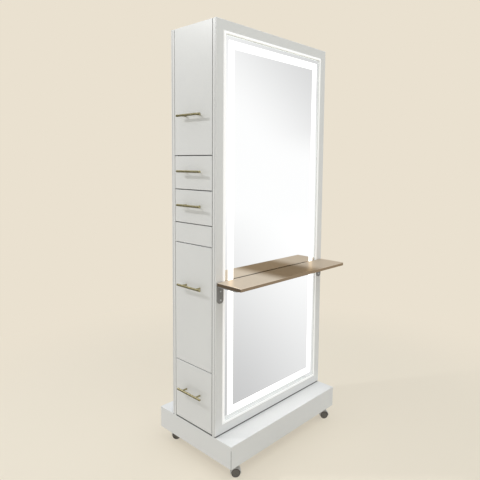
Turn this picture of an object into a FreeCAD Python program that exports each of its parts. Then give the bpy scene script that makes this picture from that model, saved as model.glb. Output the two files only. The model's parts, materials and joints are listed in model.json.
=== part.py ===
"""Double-sided salon station on casters, as a parametric FreeCAD document.

A tall lacquered cabinet stands on a wider plinth. Its wide faces carry framed mirrors, each with a
light band frosted into it, and the front one a counter shelf on two brackets. Its narrow ends are
columns of doors and drawers with bar handles. Sizes are in millimetres, +Z is up, X runs along the
wide faces and the mirror with the counter faces -Y. The origin is on the floor, under the centre of
the bounding box, so the cabinet itself stands a little behind it.

The cabinet looks the same after half a turn, apart from the counter. So each piece of the left end
or of the front face is placed once as it is and once turned, by place().
"""
import FreeCAD, Part
import os
import Sketcher

Vector = FreeCAD.Vector
Rotation = FreeCAD.Rotation

DIMENSIONS = (
    ("overall_height", 1993, "floor to the top of the cabinet"),
    ("body_width", 780, "cabinet and plinth along X"),
    ("body_depth", 306, "cabinet along Y, over both mirror frames"),
    ("plinth_depth", 510, "plinth along Y"),
    ("plinth_height", 104, "skirt and deck"),
    ("caster_height", 68, "floor to the underside of the plinth"),
    ("board", 15, "thickness of a carcass board"),
    ("plinth_board", 18, "thickness of the plinth's deck and skirt"),
    ("front_board", 18, "thickness of a door or drawer front"),
    ("board_setback", 2, "shelf edge behind the back of the fronts"),
    ("front_gap", 4, "gap between two fronts"),
    ("side_gap", 3, "gap beside a front"),
    ("foot_gap", 6, "gap under the lowest front"),
    ("arris", 1.2, "rounding of lacquered edges"),
    ("corner_groove", 1.5, "groove along the skirt's mitred corners"),
    ("bottom_front", 282, "height of the deep drawer's front"),
    ("lower_door", 562, "height of the lower door"),
    ("blank_front", 89, "height of the fixed panel"),
    ("small_front", 149, "height of a small drawer's front"),
    ("handle_length", 160, "length of a bar handle"),
    ("handle_diameter", 10, "bar of a handle"),
    ("handle_centres", 96, "distance between a handle's posts"),
    ("post_diameter", 8, "post of a handle"),
    ("handle_reach", 28, "from the front to the bar's axis"),
    ("small_handle_rise", 5.5, "small drawer's handle above the middle of its front"),
    ("deep_handle_rise", 14, "deep drawer's handle above the middle of its front"),
    ("upper_handle_rise", 174, "upper door's handle above the door's lower edge"),
    ("lower_handle_drop", 192, "lower door's handle below the door's upper edge"),
    ("frame_thickness", 7, "mirror frame in front of the side panel"),
    ("frame_gap", 5, "shadow gap between mirror frame and plinth"),
    ("frame_side", 44, "flat face of the frame beside the bead"),
    ("frame_top", 46, "flat face of the frame above the bead"),
    ("frame_bottom", 43, "flat face of the frame below the bead"),
    ("bead", 12, "width of the bead round the mirror"),
    ("bead_crown", 4.5, "height of the bead over its chord"),
    ("bead_lip", 5, "bead's inner foot above the side panel"),
    ("glass", 4, "thickness of the mirror"),
    ("glass_bevel", 1.5, "bevel of the mirror's edge"),
    ("glass_fit", 0.5, "clearance round the mirror"),
    ("mirror_margin", 17, "plain mirror between the bead and the light band"),
    ("band", 38, "light band in the mirror, and the channel behind it"),
    ("cover", 2, "thickness of the light cover behind the mirror"),
    ("cover_fit", 0.5, "clearance beside the light cover"),
    ("channel_depth", 8, "light channel in the side panel"),
    ("strip_width", 10, "light strip"),
    ("strip_thickness", 1.5, "light strip"),
    ("cable_hole", 12, "from the light channel to the driver's bay"),
    ("driver_length", 160, "light driver"),
    ("driver_width", 40, "light driver"),
    ("driver_height", 28, "light driver"),
    ("driver_ear", 12, "light driver's fixing ear"),
    ("ear_thickness", 3, "light driver's fixing ear"),
    ("shelf_inset", 5, "counter shelf's end from the cabinet's corner"),
    ("shelf_depth", 146, "counter shelf along Y"),
    ("shelf_gap", 4, "between the counter shelf and the frame's face, which clears the bead"),
    ("shelf_thickness", 15, "counter shelf"),
    ("shelf_top", 878, "top of the counter shelf above the floor"),
    ("shelf_corner", 4, "rounding of the counter's front corners"),
    ("bracket_width", 35, "counter bracket along X"),
    ("bracket_steel", 5, "thickness of a counter bracket"),
    ("bracket_leg", 80, "counter bracket below the shelf"),
    ("bracket_arm", 125, "counter bracket under the shelf"),
    ("bracket_inset", 7, "counter bracket from the cabinet's corner"),
    ("bracket_corner", 14, "rounding of a bracket's ends"),
    ("bracket_bend", 3, "rounding inside a bracket's bend"),
    ("upper_screw_drop", 25, "bracket's upper screw below the shelf"),
    ("lower_screw_drop", 65, "bracket's lower screw below the shelf"),
    ("screw_diameter", 4, "shank of a screw"),
    ("screw_fit", 0.1, "radial clearance of a screw's shank"),
    ("screw_head", 8, "head of a screw"),
    ("screw_head_top", 5.5, "flat top of a screw's head"),
    ("screw_head_height", 2.4, "head of a screw"),
    ("screw_bite", 11, "screw's length in the wood"),
    ("runner_height", 16, "drawer runner"),
    ("runner_thickness", 8, "drawer runner"),
    ("runner_setback", 6, "runner's end behind the back of the fronts"),
    ("runner_fit", 0.5, "clearance of a runner in its groove"),
    ("drawer_gap", 3, "between drawer box and side panel"),
    ("drawer_side", 12, "thickness of a drawer box's side"),
    ("drawer_base", 6, "thickness of a drawer's bottom"),
    ("base_groove", 5, "depth of the groove for a drawer's bottom"),
    ("base_rise", 8, "drawer's bottom above its box's lower edge"),
    ("drawer_clear", 24.5, "between a closed drawer and the centre partition"),
    ("small_box", 110, "height of a small drawer's box"),
    ("deep_box", 230, "height of the deep drawer's box"),
    ("box_rise", 15, "box's lower edge above its front's"),
    ("hinge_inset", 100, "hinge from the door's end"),
    ("cup_radius", 17.5, "bore for a hinge cup"),
    ("cup_depth", 11.5, "bore for a hinge cup"),
    ("cup_fit", 0.1, "clearance of a hinge cup in its bore"),
    ("cup_wall", 1, "hinge cup and its flange"),
    ("cup_centre", 22.5, "hinge cup from the door's edge"),
    ("flange_height", 58, "hinge cup's flange"),
    ("flange_width", 19, "hinge cup's flange"),
    ("hinge_plate_steel", 5, "hinge plate on the side panel"),
    ("hinge_plate_length", 44, "hinge plate on the side panel"),
    ("hinge_plate_height", 44, "hinge plate on the side panel"),
    ("hinge_plate_setback", 32, "hinge plate behind the door"),
    ("hinge_arm_steel", 5, "hinge arm"),
    ("hinge_arm_height", 14, "hinge arm along Z"),
    ("hinge_crank", 9, "offset of the hinge arm's bend"),
    ("hinge_nose", 16, "hinge arm's straight end at the door"),
    ("hinge_bend", 2, "outside of the hinge arm's bends, behind the inside"),
    ("hinge_clear", 2.5, "hinge arm's end behind the door"),
    ("hinge_gap", 0.3, "between the hinge arm and the cup's link"),
    ("caster_end_inset", 49, "caster's pivot from the plinth's end"),
    ("caster_side_inset", 41, "caster's pivot from the plinth's side"),
    ("caster_trail", 14, "wheel axle behind the pivot"),
    ("caster_heading", 320, "direction the wheels trail in at rest, in degrees"),
    ("wheel_radius", 20, "caster wheel"),
    ("wheel_width", 10, "one of a caster's two wheels"),
    ("wheel_chamfer", 1.5, "edge of a caster wheel"),
    ("dish_radius", 14.5, "recess in a wheel's outer face"),
    ("dish_depth", 2.5, "recess in a wheel's outer face"),
    ("web", 8, "hood between the two wheels"),
    ("wheel_gap", 1, "between wheel and web"),
    ("axle_radius", 3, "caster axle"),
    ("seat_fit", 0.02, "radial clearance of a wheel on its axle"),
    ("running_fit", 0.05, "radial clearance of a turning shaft"),
    ("hood_gap", 1.2, "between wheel rim and hood"),
    ("hood_wall", 2.5, "hood over the wheels"),
    ("hood_skirt", 17, "hood's lower edge above the floor"),
    ("neck_radius", 10, "hood's neck under the swivel"),
    ("neck_foot", 42, "neck's lower end above the floor"),
    ("race_radius", 15, "swivel races"),
    ("lower_race", 3.5, "height of the hood's race"),
    ("upper_race", 4, "height of the race under the mounting plate"),
    ("race_gap", 0.3, "between the two races"),
    ("stem_radius", 5, "swivel stem"),
    ("stem_gap", 0.5, "between stem and plinth"),
    ("plate_size", 44, "caster's mounting plate"),
    ("plate_corner", 5, "caster's mounting plate"),
    ("plate_steel", 3, "caster's mounting plate"),
)

doc = FreeCAD.newDocument("salon_station")
sheet = doc.addObject("Spreadsheet::Sheet", "dims")
for row, (alias, number, meaning) in enumerate(DIMENSIONS, start=1):
    sheet.set(f"A{row}", meaning)
    sheet.set(f"B{row}", str(number))
    sheet.setAlias(f"B{row}", alias)
doc.recompute()

# Sizes that follow from the sheet, as expressions on it.
HALF_WIDTH = "(dims.body_width / 2)"
HALF_PLINTH = "(dims.plinth_depth / 2)"
PLINTH_TOP = "(dims.caster_height + dims.plinth_height)"
PANEL_FACE = "(dims.body_depth / 2 - dims.frame_thickness)"
PANEL_BACK = f"({PANEL_FACE} - dims.board)"
PANEL_TOP = "(dims.overall_height - dims.board)"
FRONT_BACK = f"({HALF_WIDTH} - dims.front_board)"
BOARD_EDGE = f"({FRONT_BACK} - dims.board_setback)"
FRONT_SIDE = f"({PANEL_BACK} - dims.side_gap)"
CENTRE_SHIFT = f"((dims.body_depth / 2 + dims.shelf_gap + dims.shelf_depth - {HALF_PLINTH}) / 2)"
SHELF_FOOT = "(dims.shelf_top - dims.shelf_thickness)"
BRACKET_X = f"({HALF_WIDTH} - dims.bracket_inset - dims.bracket_width / 2)"
SCREW_HOLE = "(dims.screw_diameter / 2 + dims.screw_fit)"
PLATE_FOOT = "(dims.caster_height - dims.plate_steel)"
FRAME_FOOT = f"({PLINTH_TOP} + dims.frame_gap)"
DRAWER_LENGTH = f"({FRONT_BACK} - dims.board / 2 - dims.drawer_clear)"
HINGE_NOSE_BACK = f"({PANEL_BACK} - dims.hinge_plate_steel - dims.hinge_crank)"
BAND_MIDDLE = "(dims.bead + dims.mirror_margin + dims.band / 2)"

# Lower edge of each front in a column, from the bottom up.
COLUMN = (
    ("drawer_bottom", "dims.bottom_front"),
    ("door_lower", "dims.lower_door"),
    ("blank", "dims.blank_front"),
    ("drawer_middle", "dims.small_front"),
    ("drawer_top", "dims.small_front"),
)
FOOT = {}
reached = f"({PLINTH_TOP} + dims.foot_gap)"
for front_name, front_height in COLUMN:
    FOOT[front_name] = reached
    reached = f"({reached} + {front_height} + dims.front_gap)"
FOOT["door_upper"] = reached
UPPER_DOOR = f"(dims.overall_height - {reached})"

ENDS = (("left", 0), ("right", 180))
FACES = (("front", 0), ("back", 180))
published = []


# ---------------------------------------------------------------- helpers

def value(expression):
    """The number that an expression on the sheet has now."""
    return float(sheet.evalExpression(expression))


def bind(obj, **sizes):
    """Tie properties of an object to expressions on the sheet."""
    for prop, expression in sizes.items():
        obj.setExpression(prop, expression)


def place(obj, x="0", y="0", z="0", turn=0, lay=Rotation()):
    """Put an object at a point of the cabinet, or half a turn round the cabinet from there."""
    sign = "-" if turn == 180 else ""
    obj.Placement = FreeCAD.Placement(Vector(), Rotation(Vector(0, 0, 1), turn) * lay)
    obj.setExpression("Placement.Base.x", f"{sign}({x})")
    obj.setExpression("Placement.Base.y", f"{sign}({y}) + {CENTRE_SHIFT}")
    obj.setExpression("Placement.Base.z", z)
    return obj


def box(name, length, width, height, x, y, z, turn=0):
    """A board, given by its size and its lowest corner."""
    obj = doc.addObject("Part::Box", name)
    bind(obj, Length=length, Width=width, Height=height)
    return place(obj, x, y, z, turn)


def cylinder(name, radius, height, x, y, z, lay, turn=0):
    """A round bar that starts at a point."""
    obj = doc.addObject("Part::Cylinder", name)
    bind(obj, Radius=radius, Height=height)
    return place(obj, x, y, z, turn, lay)


def fuse(name, pieces):
    """One solid from several that touch."""
    obj = doc.addObject("Part::MultiFuse", name)
    obj.Shapes = pieces
    return obj


def cut(name, base, tool):
    """A solid less another."""
    obj = doc.addObject("Part::Cut", name)
    obj.Base = base
    obj.Tool = tool
    return obj


def group(name, pieces):
    """Separate solids that share one node."""
    obj = doc.addObject("Part::Compound", name)
    obj.Links = pieces
    return obj


def publish(label, obj):
    """Give a finished sub-part its name, and queue it for export."""
    obj.Label = label
    published.append(obj)


def new_sketch(body, name, role, offset="0"):
    """A sketch on one of the body's origin planes, moved along the plane's normal."""
    sketch = body.newObject("Sketcher::SketchObject", name)
    plane = next(p for p in body.Origin.OriginFeatures if p.Role == role)
    sketch.AttachmentSupport = [(plane, "")]
    sketch.MapMode = "FlatFace"
    sketch.setExpression("AttachmentOffset.Base.z", offset)
    return sketch


def constrain(sketch, expression, kind, *references):
    """Add a dimension that follows an expression."""
    index = sketch.addConstraint(Sketcher.Constraint(kind, *references, value(expression)))
    sketch.setExpression(f"Constraints[{index}]", expression)


def outline(sketch, corners, arcs=None):
    """A closed outline through corners. arcs gives the sides that are arcs: their crown and radius."""
    arcs = arcs or {}
    points = [Vector(value(u), value(v), 0) for u, v in corners]
    count = len(points)
    first = sketch.GeometryCount
    starts = []
    for i in range(count):
        start, end = points[i], points[(i + 1) % count]
        if i in arcs:
            crown, radius = arcs[i]
            middle = (start + end) / 2
            across = Vector(-(end - start).y, (end - start).x, 0).normalize()
            sketch.addGeometry(Part.Arc(start, middle + across * value(crown), end))
            constrain(sketch, radius, "Radius", first + i)
        else:
            sketch.addGeometry(Part.LineSegment(start, end))
        forward = sketch.getPoint(first + i, 1).isEqual(start, 1e-6)
        starts.append(1 if forward else 2)
    for i, (u, v) in enumerate(corners):
        following = (i + 1) % count
        sketch.addConstraint(Sketcher.Constraint(
            "Coincident", first + i, 3 - starts[i], first + following, starts[following]))
        constrain(sketch, u, "DistanceX", -1, 1, first + i, starts[i])
        constrain(sketch, v, "DistanceY", -1, 1, first + i, starts[i])


def rectangle(sketch, left, low, right, high):
    outline(sketch, ((left, low), (right, low), (right, high), (left, high)))


def circle(sketch, u, v, radius):
    centre = Vector(value(u), value(v), 0)
    geometry = sketch.addGeometry(Part.Circle(centre, Vector(0, 0, 1), value(radius)))
    constrain(sketch, u, "DistanceX", -1, 1, geometry, 3)
    constrain(sketch, v, "DistanceY", -1, 1, geometry, 3)
    constrain(sketch, radius, "Radius", geometry)


def pad(body, sketch, length, back=False, middle=False):
    """Raise a sketch along its normal, against it, or both ways."""
    feature = body.newObject("PartDesign::Pad", sketch.Name + "_pad")
    feature.Profile = sketch
    feature.Reversed = back
    feature.Midplane = middle
    bind(feature, Length=length)
    return feature


def pocket(body, sketch, depth, forward=False, middle=False):
    """Cut a sketch into the body, and make sure that it takes material away."""
    doc.recompute()
    before = body.Shape.Volume
    feature = body.newObject("PartDesign::Pocket", sketch.Name + "_pocket")
    feature.Profile = sketch
    feature.Reversed = forward
    feature.Midplane = middle
    bind(feature, Length=depth)
    doc.recompute()
    if body.Shape.Volume >= before:
        raise RuntimeError(f"{sketch.Name} cuts nothing")
    return feature


def revolve(body, sketch, axis):
    feature = body.newObject("PartDesign::Revolution", sketch.Name + "_turned")
    feature.Profile = sketch
    feature.ReferenceAxis = (sketch, [axis])
    feature.Angle = 360
    return feature


def dress_edges(body, name, base, kind, wanted):
    """A fillet or chamfer on those edges of a feature that pass a test."""
    doc.recompute()
    edges = [f"Edge{i}" for i, edge in enumerate(base.Shape.Edges, start=1) if wanted(edge)]
    if not edges:
        raise RuntimeError(f"{name} finds no edge")
    feature = body.newObject(f"PartDesign::{kind}", name)
    feature.Base = (base, edges)
    return feature


def round_edges(body, name, base, radius, wanted):
    feature = dress_edges(body, name, base, "Fillet", wanted)
    bind(feature, Radius=radius)
    return feature


def bevel_edges(body, name, base, size, wanted):
    feature = dress_edges(body, name, base, "Chamfer", wanted)
    bind(feature, Size=size)
    return feature


def lies_at(edge, axis, expression):
    """Whether all of an edge has one coordinate."""
    wanted = value(expression)
    return all(abs(getattr(vertex.Point, axis) - wanted) < 1e-3 for vertex in edge.Vertexes)


def lies_beside(edge, axis, expression):
    """Whether all of an edge has one coordinate, or all of it has that coordinate's negative."""
    return lies_at(edge, axis, expression) or lies_at(edge, axis, f"-({expression})")


# ---------------------------------------------------------------- plinth

def caster_points():
    """Each caster's name and its pivot."""
    for end, x_sign in (("left", "-"), ("right", "")):
        for face, y_sign in (("front", "-"), ("back", "")):
            x = f"{x_sign}({HALF_WIDTH} - dims.caster_end_inset)"
            y = f"{y_sign}({HALF_PLINTH} - dims.caster_side_inset)"
            yield f"caster_{face}_{end}", x, y


def build_plinth():
    """A mitred skirt under a deck, with a base board inside it that carries the casters.

    A groove along each mitre hides the joint.
    """
    skirt = []
    for name, long_half, across in (("end", HALF_PLINTH, HALF_WIDTH),
                                    ("side", HALF_WIDTH, HALF_PLINTH)):
        groove_end = f"({long_half} - dims.corner_groove)"
        groove_floor = f"(dims.corner_groove - {across})"
        corners = (
            (f"-{groove_end}", groove_floor),
            (f"-{groove_end}", f"-{across}"),
            (groove_end, f"-{across}"),
            (groove_end, groove_floor),
            (f"({long_half} - dims.plinth_board)", f"(dims.plinth_board - {across})"),
            (f"(dims.plinth_board - {long_half})", f"(dims.plinth_board - {across})"),
        )
        if name == "end":
            corners = tuple((v, u) for u, v in corners)
        for turn in (0, 180):
            body = doc.addObject("PartDesign::Body", f"skirt_{name}_{turn}")
            sketch = new_sketch(body, f"skirt_{name}_{turn}_plan", "XY_Plane")
            outline(sketch, corners)
            pad(body, sketch, "dims.plinth_height - dims.plinth_board")
            skirt.append(place(body, z="dims.caster_height", turn=turn))
    publish("plinth_skirt", group("skirt", skirt))

    deck = doc.addObject("PartDesign::Body", "deck")
    sketch = new_sketch(deck, "deck_plan", "XY_Plane")
    rectangle(sketch, f"-{HALF_WIDTH}", f"-{HALF_PLINTH}", HALF_WIDTH, HALF_PLINTH)
    board = pad(deck, sketch, "dims.plinth_board")
    round_edges(deck, "deck_arris", board, "dims.arris",
                lambda edge: lies_at(edge, "z", "dims.plinth_board"))
    place(deck, z=f"{PLINTH_TOP} - dims.plinth_board")
    publish("plinth_deck", deck)

    inner_x = f"({HALF_WIDTH} - dims.plinth_board)"
    inner_y = f"({HALF_PLINTH} - dims.plinth_board)"
    publish("plinth_base", box(
        "base", f"2 * {inner_x}", f"2 * {inner_y}", "dims.board", f"-{inner_x}", f"-{inner_y}",
        "dims.caster_height"))


# ---------------------------------------------------------------- carcass

def bracket_screw_points():
    """Screws of both counter brackets, on the front face."""
    for sign in ("-", ""):
        for drop in ("dims.upper_screw_drop", "dims.lower_screw_drop"):
            yield f"{sign}{BRACKET_X}", f"({SHELF_FOOT} - {drop})"


def frame_opening(inset):
    """Left, low, right and high of a rectangle that lies an inset inside the frame's flat face."""
    half = f"({HALF_WIDTH} - dims.frame_side - {inset})"
    low = f"({FRAME_FOOT} + dims.frame_bottom + {inset})"
    high = f"(dims.overall_height - dims.frame_top - {inset})"
    return f"-{half}", low, half, high


def band_ring(sketch, width):
    """A ring of some width along the middle of the light band."""
    rectangle(sketch, *frame_opening(f"({BAND_MIDDLE} - {width} / 2)"))
    rectangle(sketch, *frame_opening(f"({BAND_MIDDLE} + {width} / 2)"))


def board_levels():
    """Middle heights of the boards in a column."""
    half_gap = "dims.front_gap / 2"
    over_drawer = f"({FOOT['door_lower']} - {half_gap})"
    under_blank = f"({FOOT['blank']} - {half_gap})"
    over_blank = f"({FOOT['drawer_middle']} - {half_gap})"
    under_door = f"({FOOT['door_upper']} - {half_gap})"
    return {
        "over_drawer": over_drawer,
        "lower_shelf": f"({over_drawer} + {under_blank}) / 2",
        "under_blank": under_blank,
        "over_blank": over_blank,
        "under_door": under_door,
        "upper_shelf": f"({under_door} + {PANEL_TOP}) / 2",
    }


def build_carcass():
    """Two wide side panels, a top board between them, a centre partition and the bays' boards."""
    for name, turn in FACES:
        panel = doc.addObject("PartDesign::Body", f"panel_{name}")
        sketch = new_sketch(panel, f"panel_{name}_face", "XZ_Plane")
        rectangle(sketch, f"-{HALF_WIDTH}", PLINTH_TOP, HALF_WIDTH, "dims.overall_height")
        board = pad(panel, sketch, "dims.board", back=True)
        round_edges(panel, f"panel_{name}_arris", board, "dims.arris",
                    lambda edge: lies_beside(edge, "x", HALF_WIDTH) and not (
                        lies_at(edge, "z", PLINTH_TOP) or lies_at(edge, "z", "dims.overall_height")))
        ring = new_sketch(panel, f"panel_{name}_channel", "XZ_Plane")
        band_ring(ring, "dims.band")
        pocket(panel, ring, "dims.channel_depth")
        holes = new_sketch(panel, f"panel_{name}_holes", "XZ_Plane")
        circle(holes, frame_opening(BAND_MIDDLE)[0],
               f"{FOOT['blank']} + dims.blank_front / 2", "dims.cable_hole / 2")
        if name == "front":
            for x, z in bracket_screw_points():
                circle(holes, x, z, SCREW_HOLE)
        pocket(panel, holes, "dims.board")
        place(panel, y=f"-{PANEL_FACE}", turn=turn)
        publish(f"side_panel_{name}", panel)

    publish("top_board", box(
        "top", f"2 * {BOARD_EDGE}", f"2 * {PANEL_BACK}", "dims.board", f"-{BOARD_EDGE}",
        f"-{PANEL_BACK}", PANEL_TOP))
    publish("centre_partition", box(
        "partition", "dims.board", f"2 * {PANEL_BACK}", f"{PANEL_TOP} - {PLINTH_TOP}",
        "-dims.board / 2", f"-{PANEL_BACK}", PLINTH_TOP))

    boards = []
    blanks = []
    for end, turn in ENDS:
        for name, level in board_levels().items():
            boards.append(box(
                f"{name}_{end}", f"{BOARD_EDGE} - dims.board / 2", f"2 * {PANEL_BACK}",
                "dims.board", f"-{BOARD_EDGE}", f"-{PANEL_BACK}", f"{level} - dims.board / 2",
                turn))
        blanks.append(box(
            f"blank_{end}", "dims.front_board + dims.board_setback", f"2 * {FRONT_SIDE}",
            "dims.blank_front", f"-{HALF_WIDTH}", f"-{FRONT_SIDE}", FOOT["blank"], turn))
    publish("shelf_boards", group("boards", boards))
    publish("blank_panels", group("blanks", blanks))


# ---------------------------------------------------------------- mirrors and light

def build_frame(name, turn):
    """Mirror frame: a flat face with rounded edges, and a raised bead swept round the opening."""
    frame = doc.addObject("PartDesign::Body", f"frame_{name}")
    face = new_sketch(frame, f"frame_{name}_face", "XZ_Plane")
    rectangle(face, f"-{HALF_WIDTH}", FRAME_FOOT, HALF_WIDTH, "dims.overall_height")
    rectangle(face, *frame_opening("0"))
    plate = pad(frame, face, "dims.frame_thickness")
    round_edges(
        frame, f"frame_{name}_arris", plate, "dims.arris",
        lambda edge: lies_at(edge, "y", "-dims.frame_thickness") and (
            lies_beside(edge, "x", HALF_WIDTH) or lies_at(edge, "z", FRAME_FOOT)
            or lies_at(edge, "z", "dims.overall_height")))

    left, low, right, high = frame_opening("0")
    path = new_sketch(frame, f"frame_{name}_path", "XZ_Plane")
    outline(path, (("0", low), (right, low), (right, high), (left, high), (left, low)))
    section = new_sketch(frame, f"frame_{name}_section", "YZ_Plane")
    stops = (
        ("0", "0"),
        ("-dims.frame_thickness", "0"),
        ("-dims.bead_lip", "dims.bead"),
        ("0", "dims.bead"),
    )
    chord = "(dims.bead^2 + (dims.frame_thickness - dims.bead_lip)^2)"
    bead_radius = f"({chord} / (8 * dims.bead_crown) + dims.bead_crown / 2)"
    bead_side = 1
    outline(section, tuple((u, f"({low} + {v})") for u, v in stops),
            {bead_side: ("dims.bead_crown", bead_radius)})
    doc.recompute()
    moulding = frame.newObject("PartDesign::AdditivePipe", f"frame_{name}_bead")
    moulding.Profile = section
    moulding.Spine = (path, [f"Edge{i}" for i in range(1, path.GeometryCount + 1)])
    moulding.Transition = "Right corner"

    if name == "front":
        holes = new_sketch(frame, "frame_front_holes", "XZ_Plane")
        for x, z in bracket_screw_points():
            circle(holes, x, z, SCREW_HOLE)
        pocket(frame, holes, "dims.frame_thickness", forward=True)
    place(frame, y=f"-{PANEL_FACE}", turn=turn)
    publish(f"mirror_frame_{name}", frame)


def build_pane(name, turn):
    """One mirror pane with bevelled edges. The light band is etched in it."""
    pane = doc.addObject("PartDesign::Body", f"pane_{name}")
    sketch = new_sketch(pane, f"pane_{name}_face", "XZ_Plane")
    rectangle(sketch, *frame_opening("(dims.bead + dims.glass_fit)"))
    glass = pad(pane, sketch, "dims.glass")
    bevel_edges(pane, f"pane_{name}_bevel", glass, "dims.glass_bevel",
                lambda edge: lies_at(edge, "y", "-dims.glass"))
    place(pane, y=f"-{PANEL_FACE}", turn=turn)
    publish(f"mirror_{name}", pane)


def build_mirrors():
    """Both faces' frame and mirror, and behind the mirror its light cover and light strips."""
    covers = []
    strips = []
    left, low, right, high = frame_opening(BAND_MIDDLE)
    half_strip = "dims.strip_width / 2"
    floor = f"(dims.channel_depth - dims.strip_thickness - {PANEL_FACE})"
    for name, turn in FACES:
        build_frame(name, turn)
        build_pane(name, turn)

        cover = doc.addObject("PartDesign::Body", f"cover_{name}")
        sketch = new_sketch(cover, f"cover_{name}_ring", "XZ_Plane")
        band_ring(sketch, "(dims.band - 2 * dims.cover_fit)")
        pad(cover, sketch, "dims.cover", back=True)
        covers.append(place(cover, y=f"-{PANEL_FACE}", turn=turn))

        for side, x in (("left", left), ("right", right)):
            strips.append(box(
                f"strip_{name}_{side}", "dims.strip_width", "dims.strip_thickness",
                f"{high} - {low} - dims.strip_width", f"{x} - {half_strip}", floor,
                f"{low} + {half_strip}", turn))
        for side, z in (("low", low), ("high", high)):
            strips.append(box(
                f"strip_{name}_{side}", f"{right} - {left} + dims.strip_width",
                "dims.strip_thickness", "dims.strip_width", f"{left} - {half_strip}", floor,
                f"{z} - {half_strip}", turn))
    publish("light_diffusers", group("covers", covers))
    publish("led_strips", group("strips", strips))

    drivers = []
    for end, turn in ENDS:
        deck = f"{board_levels()['under_blank']} + dims.board / 2"
        middle = f"-({BOARD_EDGE} + dims.board / 2) / 2"
        case = box(
            f"driver_case_{end}", "dims.driver_length", "dims.driver_width",
            "dims.driver_height", f"{middle} - dims.driver_length / 2",
            "-dims.driver_width / 2", deck, turn)
        ears = box(
            f"driver_ears_{end}", "dims.driver_length + 2 * dims.driver_ear",
            "dims.driver_width / 2", "dims.ear_thickness",
            f"{middle} - dims.driver_length / 2 - dims.driver_ear", "-dims.driver_width / 4",
            deck, turn)
        drivers.append(fuse(f"driver_{end}", [case, ears]))
    publish("led_drivers", group("drivers", drivers))


# ---------------------------------------------------------------- counter

def build_counter():
    """Counter shelf and its two angle brackets, on the front face."""
    shelf = doc.addObject("PartDesign::Body", "shelf")
    sketch = new_sketch(shelf, "shelf_plan", "XY_Plane")
    half = f"({HALF_WIDTH} - dims.shelf_inset)"
    rectangle(sketch, f"-{half}", "-dims.shelf_depth", half, "0")
    board = pad(shelf, sketch, "dims.shelf_thickness")
    corners = round_edges(
        shelf, "shelf_corners", board, "dims.shelf_corner",
        lambda edge: lies_at(edge, "y", "-dims.shelf_depth") and lies_beside(edge, "x", half))
    round_edges(
        shelf, "shelf_arris", corners, "dims.arris",
        lambda edge: (lies_at(edge, "z", "0") or lies_at(edge, "z", "dims.shelf_thickness"))
        and not lies_at(edge, "y", "0"))
    place(shelf, y="-(dims.body_depth / 2 + dims.shelf_gap)", z=SHELF_FOOT)
    publish("counter_shelf", shelf)

    brackets = []
    half = "(dims.bracket_width / 2)"
    for name, sign in (("left", "-"), ("right", "")):
        bracket = doc.addObject("PartDesign::Body", f"bracket_{name}")
        sketch = new_sketch(bracket, f"bracket_{name}_section", "YZ_Plane")
        outline(sketch, (
            ("0", "0"),
            ("0", "-dims.bracket_leg"),
            ("-dims.bracket_steel", "-dims.bracket_leg"),
            ("-dims.bracket_steel", "-dims.bracket_steel"),
            ("-dims.bracket_arm", "-dims.bracket_steel"),
            ("-dims.bracket_arm", "0"),
        ))
        angle = pad(bracket, sketch, "dims.bracket_width", middle=True)
        ends = round_edges(
            bracket, f"bracket_{name}_ends", angle, "dims.bracket_corner",
            lambda edge: lies_beside(edge, "x", half) and (
                lies_at(edge, "z", "-dims.bracket_leg") or lies_at(edge, "y", "-dims.bracket_arm")))
        round_edges(
            bracket, f"bracket_{name}_bend", ends, "dims.bracket_bend",
            lambda edge: lies_at(edge, "y", "-dims.bracket_steel")
            and lies_at(edge, "z", "-dims.bracket_steel"))
        holes = new_sketch(bracket, f"bracket_{name}_holes", "XZ_Plane")
        for drop in ("dims.upper_screw_drop", "dims.lower_screw_drop"):
            circle(holes, "0", f"-{drop}", SCREW_HOLE)
        pocket(bracket, holes, "dims.bracket_steel", forward=True)
        brackets.append(place(bracket, f"{sign}{BRACKET_X}", "-dims.body_depth / 2", SHELF_FOOT))
    publish("shelf_brackets", group("brackets", brackets))


def build_bracket_screws():
    """Two pan-head screws through each bracket and the mirror frame into the side panel."""
    screws = []
    outwards = Rotation(Vector(1, 0, 0), 90)
    inwards = Rotation(Vector(1, 0, 0), -90)
    face = "-dims.body_depth / 2 - dims.bracket_steel"
    length = "dims.bracket_steel + dims.frame_thickness + dims.screw_bite"
    for i, (x, z) in enumerate(bracket_screw_points()):
        head = doc.addObject("Part::Cone", f"screw_{i}_head")
        bind(head, Radius1="dims.screw_head / 2", Radius2="dims.screw_head_top / 2",
             Height="dims.screw_head_height")
        place(head, x, face, z, lay=outwards)
        shank = cylinder(f"screw_{i}_shank", "dims.screw_diameter / 2", length, x, face, z, inwards)
        screws.append(fuse(f"screw_{i}", [head, shank]))
    publish("bracket_screws", group("screws", screws))


# ---------------------------------------------------------------- fronts

def build_front(label, foot, height, turn, hinges=()):
    """A door or drawer front with rounded outer edges, bored for hinge cups where it has them."""
    body = doc.addObject("PartDesign::Body", f"{label}_body")
    sketch = new_sketch(body, f"{label}_face", "YZ_Plane")
    rectangle(sketch, f"-{FRONT_SIDE}", "0", FRONT_SIDE, height)
    board = pad(body, sketch, "dims.front_board")
    round_edges(body, f"{label}_arris", board, "dims.arris", lambda edge: lies_at(edge, "x", "0"))
    if hinges:
        cups = new_sketch(body, f"{label}_cups", "YZ_Plane", "dims.front_board")
        for level in hinges:
            circle(cups, f"({FRONT_SIDE} - dims.cup_centre)", level, "dims.cup_radius")
        pocket(body, cups, "dims.cup_depth")
    place(body, f"-{HALF_WIDTH}", z=foot, turn=turn)
    publish(label, body)


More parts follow.
